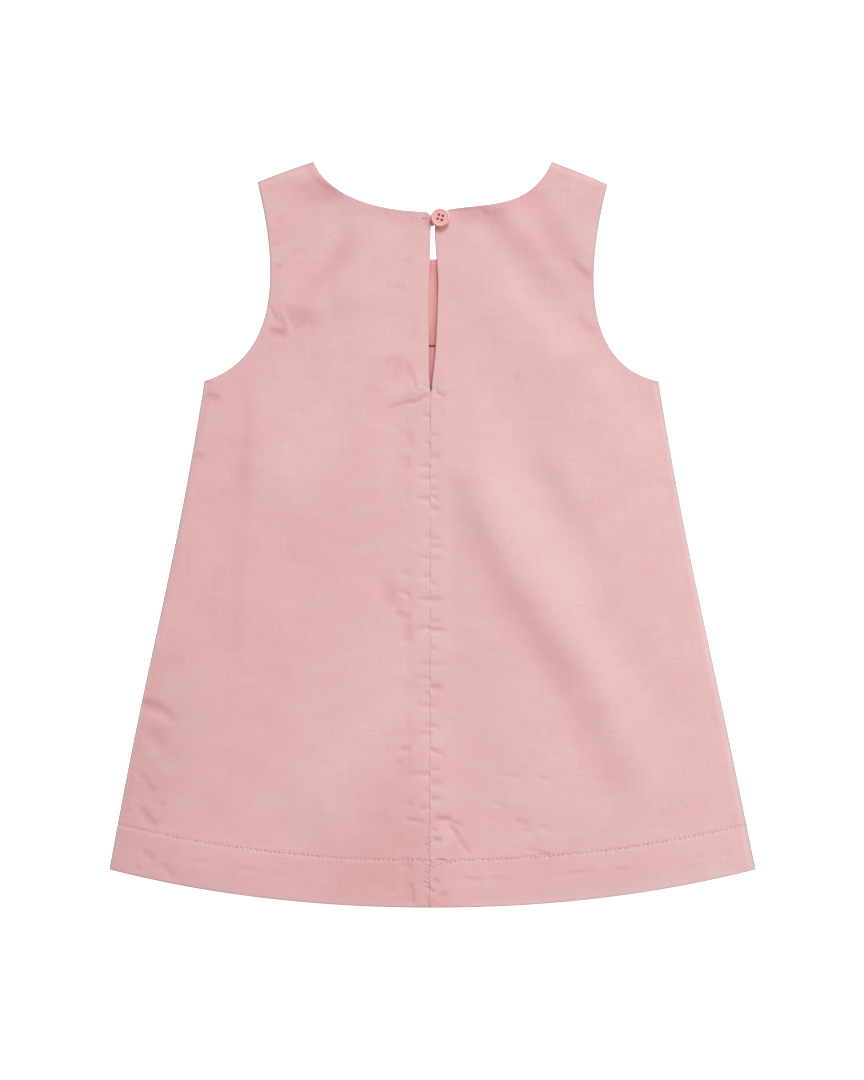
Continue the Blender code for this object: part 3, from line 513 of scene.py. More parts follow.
# The cord loop, as in the solids: `climb` is 0 level with the left half's wall
# and 1 lying on the right half.
LoopRow = namedtuple("LoopRow", "across up climb")
LOOP = rows_of(LoopRow, (
    (-0.46, 378.2, 0), (-0.02, 378.7, 0.18), (0.6, 379.8, 0.78), (1.6, 380.9, 1), (4.2, 381.4, 1),
    (5.76, 380.8, 1), (6.4, 379.2, 1), (5.76, 377.6, 1), (4.2, 377, 1), (1.6, 376, 1),
    (0.6, 375.3, 0.78), (-0.08, 375, 0.18), (-0.6, 374.9, 0),
))

# Short stitches sewn by hand or by a tacking machine, from point to point.
Tack = namedtuple("Tack", "from_across from_up to_across to_up")
NECK_TACKS = rows_of(Tack, (
    (-5.8, 380.2, -5.5, 378.3), (-4.9, 380.3, -4.7, 378.2), (-3.9, 380.2, -3.8, 378.4),
    (-2.9, 380.1, -2.8, 378.6), (-6, 379.4, -3.4, 379.3), (-8.7, 380.3, -8.7, 378.7),
    (-11.5, 380.3, -11.4, 378.8),
))
HEM_TACKS = rows_of(Tack, (
    (-4.4, 20.6, -2.6, 19.6), (-2.4, 20.4, -3.6, 18.6), (-4.8, 17.2, -2.8, 18.2),
    (-3, 17.4, -1.6, 15.8), (-4.6, 15.4, -3, 14.2), (-3.4, 14.8, -1.4, 13.4),
    (-4.4, 12.6, -2.8, 11.4), (-2.8, 12.6, -1.2, 11), (-2.2, 10.6, -0.4, 9.4),
    (-3.4, 24.6, -2.2, 23.4), (-1.8, 23.6, -0.2, 24.4), (0.8, 24.4, 1.6, 22.9),
    (-0.6, 23.4, 0.6, 22.6), (2.2, 24.2, 3.6, 23.3), (4.6, 24.6, 5.6, 23.6), (2, 27, 4, 26.6),
    (4.8, 27, 7, 26.2), (7.6, 25.2, 9.2, 24.6), (9.8, 27.2, 11, 26.6), (-7.6, 27.4, -6.2, 26.8),
    (-5, 25.4, -3.8, 24.6), (-2.9, 39.8, -1.9, 37.8), (-2.6, 36.6, -1.7, 34.8),
    (-4, 35.8, -2.6, 34.8), (-2.9, 33.6, -1.9, 31.8), (-1.4, 37.2, -0.4, 35.8),
))

# Threads that bind the two ends of the loop side by side.
LOOP_TACKS = rows_of(Tack, (
    (-1.6, 375.5, 2.2, 375.5), (-1.6, 376, 2.4, 376.1), (-1.6, 376.6, 2.6, 376.6),
    (-1.6, 377.2, 2.6, 377.1), (-1.6, 377.7, 2.6, 377.7), (-1.6, 378.3, 2.4, 378.2),
))

# Half section of the button, from the middle of its back to the middle of its
# dish: the radius and the height above its back.
ButtonRow = namedtuple("ButtonRow", "radius height")
BUTTON_SECTION = rows_of(ButtonRow, (
    (0, 0.02), (2.2, 0.02), (3.7, 0.04), (4.7, 0.16), (5.14, 0.36), (5.29, 0.66), (5.2, 1.06),
    (5.02, 1.5), (4.82, 1.82), (4.56, 1.97), (4.34, 1.98), (4.16, 1.9), (4, 1.8), (3.66, 1.76),
    (2.4, 1.75), (1.2, 1.75), (0, 1.75),
))

# Crumples: waves of soft noise, finer and lower from row to row on the back.
Crumple = namedtuple("Crumple", "across up height seed")
CRUMPLES = rows_of(Crumple, (
    (46, 30, 0.16, 11), (21, 12, 0.07, 12), (9, 5.2, 0.026, 13),
))
FRONT_CRUMPLE = Crumple(24, 13, 0.05, 41)
FACING_CRUMPLE = Crumple(19, 10, 0.07, 42)
SCATTERED_CREASES = 170

# Faint troughs where the seam's pressed allowances end: `sway` is how far they stray.
Step = namedtuple("Step", "side away sway depth")
ALLOWANCE_STEPS = rows_of(Step, ((-1, 12.6, 1.4, 0.22), (+1, 9.8, 1.0, 0.10)))
ALLOWANCE_STEP_WIDTH = 1.8
ALLOWANCE_WAVE = 11.0 * MM

# Level lines along the hem: the trough of the stitching, the roll above it, and
# the patchy print of the hem's inner edge.
Line = namedtuple("Line", "above half_width height")
STITCH_TROUGH = Line(0, 0.9, -0.13)
STITCH_ROLL = Line(2.2, 1.4, 0.05)
HEM_PRINT = Line(-12.7, 1.1, -0.07)
HEM_PRINT_WAVE = 26.0 * MM
BARE_CREASE_DEPTH = 0.10

# Half section of a cutter for the button's holes: how much wider it is than
# the hole, and the height above the dish.
BUTTON_HOLE_FLARE = ((1.0, -0.32), (1.06, -0.16), (1.22, -0.03))

# ------------------------------------------------------------- general shapes


def smooth_step(value):
    """0 below 0, 1 above 1, and 3v^2 - 2v^3 between."""
    v = np.clip(value, 0.0, 1.0)
    return v * v * (3.0 - 2.0 * v)


def rise(value, start, over):
    """0 up to `start` and 1 from start + over on: the smooth step of (v - start) / over."""
    return smooth_step((value - start) / over)


def bell(value, width):
    """exp(-(v / w)^2)."""
    return np.exp(-(value / width) ** 2)


def spots(across, up):
    """Points of the cut, from their places across and up."""
    return np.stack((across, up), axis=-1)


def bezier(start, pull_start, pull_end, end, t):
    """Points on a cubic curve: s^3 A + 3 s^2 t B + 3 s t^2 C + t^3 D, where s is 1 - t."""
    t = np.asarray(t, float)[..., None]
    s = 1.0 - t
    return (s ** 3 * np.array(start) + 3.0 * s ** 2 * t * np.array(pull_start)
            + 3.0 * s * t ** 2 * np.array(pull_end) + t ** 3 * np.array(end))


def bowed_line(start, end, bow, t, sway=0.0):
    """Points from start to end, moved left of the way by 4 bow t (1 - t) - sway sin(2 pi t)."""
    start, end = np.array(start), np.array(end)
    run = end - start
    left = np.array((-run[1], run[0])) / np.hypot(*run)
    t = np.asarray(t, float)[..., None]
    return start + t * run + (4.0 * bow * t * (1.0 - t) - sway * np.sin(2.0 * np.pi * t)) * left


def through(knots, values, at):
    """Cubic curve through (knots, values), with its slopes set by the neighbours."""
    slopes = np.gradient(values, knots)
    cell = np.clip(np.searchsorted(knots, at) - 1, 0, len(knots) - 2)
    width = knots[cell + 1] - knots[cell]
    s = (at - knots[cell]) / width
    start = (2.0 * s ** 3 - 3.0 * s ** 2 + 1.0) * values[cell]
    start += (s ** 3 - 2.0 * s ** 2 + s) * width * slopes[cell]
    end = (3.0 * s ** 2 - 2.0 * s ** 3) * values[cell + 1]
    end += (s ** 3 - s ** 2) * width * slopes[cell + 1]
    return start + end


def column(table, name):
    """One column of a table in millimetres, as metres."""
    return np.array([getattr(row, name) for row in table]) * MM


def in_world(across, up, height):
    """World coordinates of points of the cut at the given heights."""
    return np.stack(np.broadcast_arrays(across, up - DRESS_LENGTH / 2.0, height), axis=-1)


def runs(stops, counts):
    """Even steps from stop to stop, with each stop once."""
    parts = [np.linspace(a, b, count, endpoint=False)
             for a, b, count in zip(stops[:-1], stops[1:], counts)]
    return np.concatenate(parts + [stops[-1:]])


def soft_noise(x, y, seed):
    """Gradient noise of about -1 to 1.

    Each whole-number corner has a slope in a random direction, and the four
    slopes around a point are faded into each other by 6t^5 - 15t^4 + 10t^3.
    """
    period = 256
    turn = np.random.default_rng(seed).uniform(0.0, 2.0 * np.pi, (period, period))
    x_low, y_low = np.floor(x).astype(int), np.floor(y).astype(int)
    x_part, y_part = x - x_low, y - y_low

    def from_corner(right, above):
        angle = turn[(x_low + right) % period, (y_low + above) % period]
        return np.cos(angle) * (x_part - right) + np.sin(angle) * (y_part - above)

    x_fade = x_part ** 3 * (x_part * (6.0 * x_part - 15.0) + 10.0)
    y_fade = y_part ** 3 * (y_part * (6.0 * y_part - 15.0) + 10.0)
    low = from_corner(0, 0) * (1.0 - x_fade) + from_corner(1, 0) * x_fade
    high = from_corner(0, 1) * (1.0 - x_fade) + from_corner(1, 1) * x_fade
    return 1.4 * (low * (1.0 - y_fade) + high * y_fade)


# -------------------------------------------------------------- the cut's lines


def hem_up(across):
    """Height of the hem's edge: a shallow curve, lowest in the middle."""
    return HEM_CORNER[1] * np.abs(across / HEM_CORNER[0]) ** HEM_CURVE


def side_seam(cut, hem_corner, t):
    """Side seam on the right, from the hem corner to the underarm."""
    return bowed_line(hem_corner, np.array(cut.underarm) * MM, cut.side_bow * MM, t,
                      cut.side_sway * MM)


def armhole(cut, t):
    """Armhole on the right, from the underarm to the arm point."""
    points = (cut.underarm, *cut.arm_pulls, cut.arm_point)
    return bezier(*(np.array(points) * MM), t)


def outer_edge(side, v):
    """Side seam and armhole of one half as if on the right, from hem corner to arm point."""
    cut = CUTS[side]
    lower = side_seam(cut, HEM_CORNER, v / SIDE_SHARE)
    upper = armhole(cut, (v - SIDE_SHARE) / (1.0 - SIDE_SHARE))
    return np.where((v <= SIDE_SHARE)[:, None], lower, upper)


def seam_across(up):
    """Where the centre seam lies: straight, and a little further left towards the hem."""
    return SEAM_ACROSS - SEAM_DRIFT * (1.0 - rise(up, *SEAM_DRIFT_FADE))


def centre_edge(side, v):
    """Centre seam and slit edge of one half, from the hem to the neckline."""
    slit_up = column(SLIT, "up")
    slit_across = column(SLIT, "left" if side < 0 else "right")
    up = np.interp(v, (0.0, SIDE_SHARE, 1.0), (0.0, slit_up[0], slit_up[-1]))
    seam = seam_across(up) + side * SEAM_OPENING / 2.0
    opening = rise(up, slit_up[0], SLIT_OPENING)
    slit = through(slit_up, slit_across, np.maximum(up, slit_up[0]))
    return spots(seam + (slit - seam) * opening, up)


def top_edge(side, u):
    """Shoulder and neckline of one half, from the arm point to the slit."""
    flip = np.array((side, 1.0))
    cut = CUTS[side]
    corner = centre_edge(side, np.array((1.0,)))[0] * flip
    shoulder = bowed_line(np.array(cut.arm_point) * MM, NECK_POINT, -SHOULDER_CROWN,
                          u / SHOULDER_SHARE)
    neck = bezier(NECK_POINT, *(np.array(cut.neck_pulls) * MM), corner,
                  (u - SHOULDER_SHARE) / (1.0 - SHOULDER_SHARE))
    return np.where((u <= SHOULDER_SHARE)[:, None], shoulder, neck) * flip


# -------------------------------------------------------- the cloth's heights


def below_line(across, up, start, end):
    """Distance of points from the line start-end, positive towards the dress."""
    run = np.array(end) - np.array(start)
    return ((up - start[1]) * -run[0] + (np.abs(across) - start[0]) * run[1]) / np.hypot(*run)


def fold_height(across, up, fold):
    """A soft ridge or trough: height f(s) exp(-(d / w)^2).

    s is the share of the way along the fold, and f(s) rises from 0 over its
    first FOLD_END and falls to 0 over its last.  d is the distance off it, and w is
    the fold's width on that side.
    """
    start = np.array((fold.from_across, fold.from_up)) * MM
    run = np.array((fold.to_across, fold.to_up)) * MM - start
    length = np.hypot(*run)
    east, north = across - start[0], up - start[1]
    along = np.clip((east * run[0] + north * run[1]) / length ** 2, 0.0, 1.0)
    off = (north * run[0] - east * run[1]) / length - 4.0 * fold.bow * MM * along * (1.0 - along)
    width = np.where(off > 0.0, fold.left, fold.right) * MM
    swell = smooth_step(along / FOLD_END) * smooth_step((1.0 - along) / FOLD_END)
    return fold.height * MM * swell * bell(off, width)


def facing_cover(across, up):
    """1 over the neck facing and inside its ring, falling to 0 outside it."""
    ring = np.hypot(across / FACING_HALF, (NECK_POINT[1] - up) / FACING_DEPTH)
    return 1.0 - rise(ring, FACING_LEVEL, FACING_SLOPE)


def doubled_cloth(across, up):
    """Where the back is folded double, 0 to 1: beside the centre seam, and in the hem."""
    beside_seam = np.exp(-((across - SEAM_ACROSS) / ALLOWANCE_HALF) ** 4)
    in_hem = smooth_step(0.5 + (hem_up(across) + HEM_DEPTH - up) / HEM_STEP)
    return beside_seam, in_hem


def back_form(across, up):
    """Height of the back's upper skin as in its solids: what lies below, and the large folds."""
    floor = (WALL + GAP) * (1.0 + facing_cover(across, up))
    from_side = below_line(across, up, UNDERARM, HEM_CORNER)
    from_shoulder = below_line(across, up, NECK_POINT, ARM_POINT)
    lift = LOFT * np.sin(np.pi / 2.0 * np.clip(from_side / LOFT_WIDTH, 0.0, 1.0))
    lift *= rise(from_shoulder, BODICE_FLAT, BODICE_LOFT_WIDTH)
    for fold in FOLDS:
        lift = lift + fold_height(across, up, fold)
    lift *= smooth_step(SEWN_SHARE + from_side / SEAM_FADE)
    lift *= smooth_step(SEWN_SHARE + from_shoulder / SEAM_FADE)
    lift = (lift + np.hypot(lift, LIFT_SOFTNESS)) / 2.0
    beside_seam, in_hem = doubled_cloth(across, up)
    return WALL + floor + lift + ALLOWANCE_RELIEF * beside_seam + HEM_RELIEF * in_hem


def pucker_height(across, up, pucker):
    """A short trough square to the seam: a bell upwards, fading out at its reach."""
    away = (across - SEAM_ACROSS) * pucker.side / MM
    off = up / MM - pucker.up - pucker.lean * away
    fade = smooth_step(PUCKER_TAPER * (1.0 - away / pucker.reach))
    fade = fade * smooth_step(away / PUCKER_ROOT + PUCKER_ROOT_SHARE)
    return -pucker.depth * MM * fade * bell(off, pucker.half_width)


def crumple_height(across, up, wave):
    """Soft noise, as long, wide and high as the wave says."""
    noise = soft_noise(across / (wave.across * MM), up / (wave.up * MM), wave.seed)
    return wave.height * MM * noise


def scattered_creases(count, seed):
    """Short faint creases all over: most are nearly level, and a few nearly upright."""
    upright_share, upright_turn, usual_half_width = 0.2, 1.35, 1.8
    rng = np.random.default_rng(seed)
    across = rng.uniform(-165.0, 165.0, count)
    up = rng.uniform(12.0, 372.0, count)
    length = rng.uniform(7.0, 30.0, count)
    turn = rng.normal(0.0, 0.30, count)
    turn = np.where(rng.random(count) < upright_share, turn + upright_turn, turn)
    half_width = rng.uniform(1.1, 2.4, count)
    height = rng.uniform(-0.075, 0.035, count) * half_width / usual_half_width
    bow = rng.normal(0.0, 0.6, count)
    reach = np.stack((np.cos(turn), np.sin(turn))) * length / 2.0
    table = np.stack((across - reach[0], up - reach[1], across + reach[0], up + reach[1],
                      bow, half_width, half_width, height), axis=-1)
    return [Fold(*row) for row in table.tolist()]


def hem_line_offset(across, up):
    """How far a point lies above the hem's stitching, which steps down beside the seam."""
    wander = HEM_LINE_WANDER * soft_noise(across / HEM_LINE_WAVE, across * 0.0, HEM_LINE_SEED)
    beside = (across - SEAM_ACROSS) / MM
    step = smooth_step(0.5 + beside / HEM_LINE_STEP_WIDTH)
    step = step * (1.0 - rise(beside, *HEM_LINE_STEP_FADE))
    return up - hem_up(across) - HEM_DEPTH - wander + HEM_LINE_STEP * step


def bare_crease(across, up):
    """How deep a point lies in the bare left end of the hem's line, from 0 to 1."""
    bare = smooth_step((HEM_STITCH_FROM - across) / BARE_FADE)
    return bare * bell(hem_line_offset(across, up), BARE_WIDTH)


def allowance_steps(across, up):
    """The depth of the faint troughs beside the seam: a bell across, patchy up the skirt."""
    beside = (across - SEAM_ACROSS) / MM
    uneven = soft_noise(up / ALLOWANCE_WAVE, beside * 0.02, ALLOWANCE_SEED)
    in_skirt = smooth_step((SLIT[0].up * MM - up) / ALLOWANCE_END_FADE)
    depth = 0.0
    for step in ALLOWANCE_STEPS:
        off = step.side * beside - step.away - step.sway * uneven
        depth = depth + step.depth * bell(off, ALLOWANCE_STEP_WIDTH)
    return in_skirt * MM * np.maximum(uneven, 0.0) * depth


def hem_lines(across, up):
    """The low forms along the hem: each is a bell about its height above the stitching."""
    off = hem_line_offset(across, up) / MM
    trough, roll, rim = [line.height * bell(off - line.above, line.half_width)
                         for line in (STITCH_TROUGH, STITCH_ROLL, HEM_PRINT)]
    noise = soft_noise(across / HEM_PRINT_WAVE, up * 0.0, HEM_PATCH_SEED)
    patchy = smooth_step(0.5 + 0.9 * noise)
    return MM * (trough + roll + rim * patchy - BARE_CREASE_DEPTH * bare_crease(across, up))


def sewn_drop(across, up):
    """How far the back comes down to the front, 0 to 1, at the side and shoulder seams."""
    sides = below_line(across, up, UNDERARM, HEM_CORNER) - SIDE_INSET
    shoulders = below_line(across, up, NECK_POINT, ARM_POINT)
    drop = smooth_step(1.0 - sides / SEWN_DROP_WIDTH) * (up < UNDERARM[1])
    return np.maximum(drop, smooth_step(1.0 - shoulders / SEWN_DROP_WIDTH))


def back_relief(across, up):
    """Everything finer than the large folds: creases, puckers, crumples and sewn lines."""
    height = sum(fold_height(across, up, fold) for fold in CREASES)
    height = height + sum(pucker_height(across, up, pucker) for pucker in PUCKERS)
    for crease in scattered_creases(SCATTERED_CREASES, SCATTER_SEED):
        height = height + fold_height(across, up, crease)
    for wave in CRUMPLES:
        height = height + crumple_height(across, up, wave)
    height = height - allowance_steps(across, up) + hem_lines(across, up)
    return height - SEWN_DROP * sewn_drop(across, up)


def back_top(across, up):
    """Height of the back's upper skin."""
    return back_form(across, up) + back_relief(across, up)


def tone_depth(across, up, tones):
    """The sum of some patches, each of them exp(-(s / a)^2 - (t / b)^2) about its middle."""
    depth = 0.0
    for tone in tones:
        turn = math.radians(tone.turn)
        east, north = across / MM - tone.across, up / MM - tone.up
        off = (east * math.cos(turn) + north * math.sin(turn)) / tone.half_across
        along = (north * math.cos(turn) - east * math.sin(turn)) / tone.half_up
        depth = depth + tone.depth * np.exp(-off ** 2 - along ** 2)
    return depth


def painted_shade_depth(across, up):
    """Painted shade and light, about 0: the listed patches, painted shade in hollows and painted
    light on crests.
    """
    depth = tone_depth(across, up, SHADE_TONES)
    for fold in FOLDS:
        depth = depth - SHADE_ON_FOLDS * fold_height(across, up, fold) / MM
    for crease in CREASES:
        depth = depth - SHADE_IN_CREASES * fold_height(across, up, crease) / MM
    for pucker in PUCKERS:
        depth = depth - SHADE_IN_PUCKERS * pucker_height(across, up, pucker) / MM
    return depth + SHADE_IN_BARE_CREASE * bare_crease(across, up)


# ------------------------------------------------------------ grids of points

# A piece of the cut as points.  `inset` is how far a point lies in from the
# nearest edge, `upper` and `lower` are the faces of the two skins seen from
# above, and `below` marks the points that the lower skin has for itself.
Grid = namedtuple("Grid", "across up inset upper lower below")


def cells_of(index):
    """The four corners of each cell of a grid of point numbers, going round to the left."""
    cells = np.stack((index[:-1, :-1], index[:-1, 1:], index[1:, 1:], index[1:, :-1]), axis=-1)
    return cells.reshape(-1, 4)


def coarse_skin(index):
    """Faces of a skin with one point for UNDER_STEP along and up, sewn to every edge point."""
    rim, step = len(EDGE_STEPS) - 1, UNDER_STEP
    faces = cells_of(index[rim:-rim:step, rim:-rim:step]).tolist()
    for turn in range(4):
        side = np.rot90(index, turn)
        outer, inner = side[0, rim:-rim].tolist(), side[rim, rim:-rim:step].tolist()
        for number in range(len(inner) - 1):
            rim_points = outer[step * number:step * (number + 1) + 1]
            faces.append(rim_points + [inner[number + 1], inner[number]])
        corner = np.concatenate((side[rim:0:-1, 0], side[0, :rim + 1], side[rim:rim + 1, rim]))
        faces.append(corner.tolist())
    return faces


def patch(points, tightness=1.0):
    """A Grid from rows of points that go up the dress and columns that go to the right.

    `tightness` is, for each row, how much tighter the last column's edge is.
    """
    rows, columns = points.shape[:2]
    ends = (points[:, :1], points[:1], points[-1:], points[:, -1:])
    away = [np.linalg.norm(points - end, axis=-1) for end in ends]
    away[-1] = away[-1] * np.reshape(tightness, (-1, 1))
    index = np.arange(rows * columns).reshape(rows, columns)
    below = np.zeros((rows, columns), bool)
    rim = len(EDGE_STEPS) - 1
    below[rim:-rim:UNDER_STEP, rim:-rim:UNDER_STEP] = True
    return Grid(points[..., 0].ravel(), points[..., 1].ravel(), np.min(away, axis=0).ravel(),
                cells_of(index).tolist(), coarse_skin(index), below.ravel())


def back_half(side):
    """One half of the back: its four edges, blended over rows and columns.

    Each point is the blend of the two long edges at its row plus the blend of
    the two short edges at its column, less the blend of the four corners.
    """
    hem_rate = SIDE_SHARE / SLIT[0].up / MM
    top_rate = (1.0 - SIDE_SHARE) / (DRESS_LENGTH - UNDERARM[1])
    hem_stops = np.array((EDGE_STEPS[-1], HEM_DEPTH - HEM_LINE_REACH, HEM_DEPTH + HEM_LINE_REACH))
    stops = np.concatenate((hem_stops * hem_rate, (SIDE_SHARE, 1.0 - EDGE_STEPS[-1] * top_rate)))
    v = np.concatenate((EDGE_STEPS[:-1] * hem_rate,
                        runs(stops, (HEM_BAND_ROWS, HEM_LINE_ROWS, SKIRT_ROWS, BODICE_ROWS)),
                        1.0 - EDGE_STEPS[-2::-1] * top_rate))
    width_rate = 1.0 / ((HEM_CORNER[0] + ARM_POINT[0]) / 2.0)
    stops = np.array((EDGE_STEPS[-1] * width_rate, 1.0 - SEAM_BAND_SHARE,
                      1.0 - EDGE_STEPS[-1] * width_rate))
    u = np.concatenate((EDGE_STEPS[:-1] * width_rate,
                        runs(stops, (OUTER_COLUMNS, SEAM_BAND_COLUMNS)),
                        1.0 - EDGE_STEPS[-2::-1] * width_rate))

    outer = (outer_edge(side, v) * np.array((side, 1.0)))[:, None]
    centre = centre_edge(side, v)[:, None]
    hem_across = outer[0, 0, 0] + u * (centre[0, 0, 0] - outer[0, 0, 0])
    hem = spots(hem_across, hem_up(hem_across))[None]
    top = top_edge(side, u)[None]
    u, v = u[None, :, None], v[:, None, None]
    points = ((1.0 - u) * outer + u * centre + (1.0 - v) * hem + v * top
              - (1.0 - u) * (1.0 - v) * hem[:, :1] - u * (1.0 - v) * hem[:, -1:]
              - (1.0 - u) * v * top[:, :1] - u * v * top[:, -1:])
    tightness = np.where(centre[:, 0, 1] < SLIT[0].up * MM, SEAM_TIGHTNESS, 1.0)
    grid = patch(points, tightness)
    if side < 0:
        return grid
    return grid._replace(upper=[face[::-1] for face in grid.upper],
                         lower=[face[::-1] for face in grid.lower])


def front_grid():
    """The front: straight rows from its middle to each side, split by the neckline.

    Up to the underarm, a row dips in the middle as the hem does.  Above it the
    rows are level, and they start on the neckline's ellipse or on the centre
    line.  The two halves share the points of the centre line.
    """
    hem_corner = np.array((HEM_CORNER[0], HEM_CORNER[1] + FRONT_HEM_INSET))
    skirt = runs(np.array(FRONT_SKIRT_STOPS), FRONT_SKIRT_ROWS)
    cut = CUTS[0]
    side = side_seam(cut, hem_corner, skirt)
    underarm_up = cut.underarm[1] * MM
    middle_up = FRONT_HEM_INSET + skirt * (underarm_up - FRONT_HEM_INSET)

    neck_low = NECK_POINT[1] - FRONT_NECK_DEPTH
    scoop = np.linspace(0.0, np.pi / 2.0, FRONT_NECK_ROWS)
    level = np.concatenate((np.linspace(underarm_up, neck_low, FRONT_CHEST_ROWS)[1:],
                            (NECK_POINT[1] - FRONT_NECK_DEPTH * np.cos(scoop))[1:]))
    t = np.linspace(0.0, 1.0, ARMHOLE_POINTS)
    limit = armhole(cut, t)
    limit[:, 0] -= FRONT_ARMHOLE_INSET * np.sin(np.pi * t)
    limit = np.concatenate((limit, (NECK_POINT,)))
    outer_across = np.interp(level, limit[:, 1], limit[:, 0])
    depth = np.clip((NECK_POINT[1] - level) / FRONT_NECK_DEPTH, 0.0, 1.0)
    inner_across = NECK_POINT[0] * np.sqrt(1.0 - depth ** 2)

    inner = np.concatenate((spots(0.0 * middle_up, middle_up), spots(inner_across, level)))[:, None]
    outer = np.concatenate((side, spots(outer_across, level)))[:, None]
    share = np.concatenate((np.linspace(0.0, FRONT_EDGE_SHARES[0], FRONT_COLUMNS),
                            FRONT_EDGE_SHARES[1:]))
    points = inner + (outer - inner) * share[None, :, None]
    points[..., 1] = inner[..., 1] + (outer - inner)[..., 1] * share ** 2
    rows, columns = points.shape[:2]

    right = np.arange(rows * columns).reshape(rows, columns)
    left = right + rows * columns
    in_one = inner[:, 0, 0] <= 0.0
    left[in_one, 0] = right[in_one, 0]
    both = np.concatenate((points.reshape(-1, 2), (points * (-1.0, 1.0)).reshape(-1, 2)))
    faces = np.concatenate((cells_of(right), cells_of(left)[:, ::-1])).tolist()
    below = np.ones((rows, columns), bool)
    below[[0, -1]] = False
    below[:, -1] = False
    below[np.flatnonzero(in_one)[-1]:, 0] = False
    ends = (points[:, -1:], points[:1], np.where(in_one[:, None, None], 1.0, points[:, :1]))
    inset = np.min([np.linalg.norm(points - end, axis=-1) for end in ends], axis=0)
    return Grid(both[:, 0], both[:, 1], np.tile(inset.ravel(), 2), faces, faces,
                np.tile(below.ravel(), 2))


def facing_grid():
    """The crescent neck facing: straight lines from its lower arc up to the neckline's arc."""
    share = np.concatenate((-1.0 + EDGE_STEPS[:-1] / FACING_HALF,
                            np.linspace(-1.0 + EDGE_STEPS[-1] / FACING_HALF,
                                        1.0 - EDGE_STEPS[-1] / FACING_HALF, FACING_COLUMNS),
                            1.0 - EDGE_STEPS[-2::-1] / FACING_HALF))
    neck, outer = share * FACING_NECK_SWEEP, share * FACING_OUTER_SWEEP
    inner_line = spots(NECK_POINT[0] * np.sin(neck),
                       NECK_POINT[1] - FRONT_NECK_DEPTH * np.cos(neck))
    outer_line = spots(FACING_HALF * np.sin(outer), NECK_POINT[1] - FACING_DEPTH * np.cos(outer))
    edge = EDGE_STEPS / (FACING_DEPTH - FRONT_NECK_DEPTH)
    climb = np.concatenate((edge[:-1], np.linspace(edge[-1], 1.0 - edge[-1], FACING_ROWS),
                            1.0 - edge[-2::-1]))[:, None, None]
    return patch(outer_line[None] * (1.0 - climb) + inner_line[None] * climb)


# --------------------------------------------------------- making the meshes


def add_mesh(name, vertices, faces, finish, uv=None, marks=None):
    """A smooth mesh object at the origin, with a UV point and named marks for each vertex."""
    mesh = bpy.data.meshes.new(name)
    mesh.from_pydata(vertices.reshape(-1, 3).tolist(), [], faces)
    mesh.shade_smooth()
    if uv is not None:
        layer = mesh.uv_layers.new(name="pattern")
        corner = np.empty(len(mesh.loops), int)
        mesh.loops.foreach_get("vertex_index", corner)
        layer.data.foreach_set("uv", uv.reshape(-1, 2)[corner].astype(np.float32).ravel())
    for label, values in (marks or {}).items():
        mark = mesh.attributes.new(label, "FLOAT", "POINT")
        mark.data.foreach_set("value", values.astype(np.float32).ravel())
    mesh.materials.append(finish)
    mesh.validate()
    piece = bpy.data.objects.new(name, mesh)
    bpy.context.scene.collection.objects.link(piece)
    return piece


def cloth_shell(name, grid, top, thickness, finish, marks=None):
    """A closed sheet of cloth: an upper and a lower skin that share their edge.

    At a distance d in from the edge, each skin stands off the middle by half
    the thickness times sqrt(1 - (1 - d / r)^2), so the edge is round.
    """
    inward = np.clip(grid.inset / EDGE_ROUND, 0.0, 1.0)
    half = thickness / 2.0 * np.sqrt(1.0 - (1.0 - inward) ** 2)
    middle = top - thickness / 2.0
    used = np.zeros(len(grid.across), bool)
    used[np.array(grid.upper).ravel()] = True
    below = used & grid.below
    upper_skin = in_world(grid.across, grid.up, middle + half)[used]
    lower_skin = in_world(grid.across, grid.up, middle - half)[below]
    upper_number = np.cumsum(used) - 1
    lower_number = np.where(below, used.sum() + np.cumsum(below) - 1, upper_number)
    faces = [[upper_number[a] for a in face] for face in grid.upper]
    faces += [[lower_number[a] for a in face[::-1]] for face in grid.lower]
    faces = [[a for i, a in enumerate(face) if a != face[i - 1]] for face in faces]
    vertices = np.concatenate((upper_skin, lower_skin))
    labels = {}
    for label, values in (marks or {}).items():
        labels[label] = np.concatenate((values[used], values[below]))
    return add_mesh(name, vertices, faces, finish, vertices[:, :2], labels)


def around(sides):
    """Even angles once round."""
    return np.arange(sides) / sides * 2.0 * np.pi


def ring_faces(rings, sides):
    """Faces of a closed body of rings: the cells between rings, and a fan at each end.

    The points are numbered ring by ring, and the two tips come last.
    """
    index = np.arange(rings * sides).reshape(rings, sides)
    index = np.concatenate((index, index[:, :1]), axis=1)
    tip = np.full(sides, rings * sides)
    fans = (np.stack((tip, index[0, 1:], index[0, :-1]), axis=-1),
            np.stack((tip + 1, index[-1, :-1], index[-1, 1:]), axis=-1))
    return cells_of(index), np.concatenate(fans)


def closed_faces(rings, sides):
    """The same faces as one list."""
    cells, fans = ring_faces(rings, sides)
    return cells.tolist() + fans.tolist()


def square_to(ahead):
    """Two directions square to a way: level, and up from it."""
    across = np.cross(ahead, (0.0, 0.0, 1.0))
    across = across / np.maximum(np.linalg.norm(across, axis=-1, keepdims=True), 1e-9)
    return across, np.cross(across, ahead)


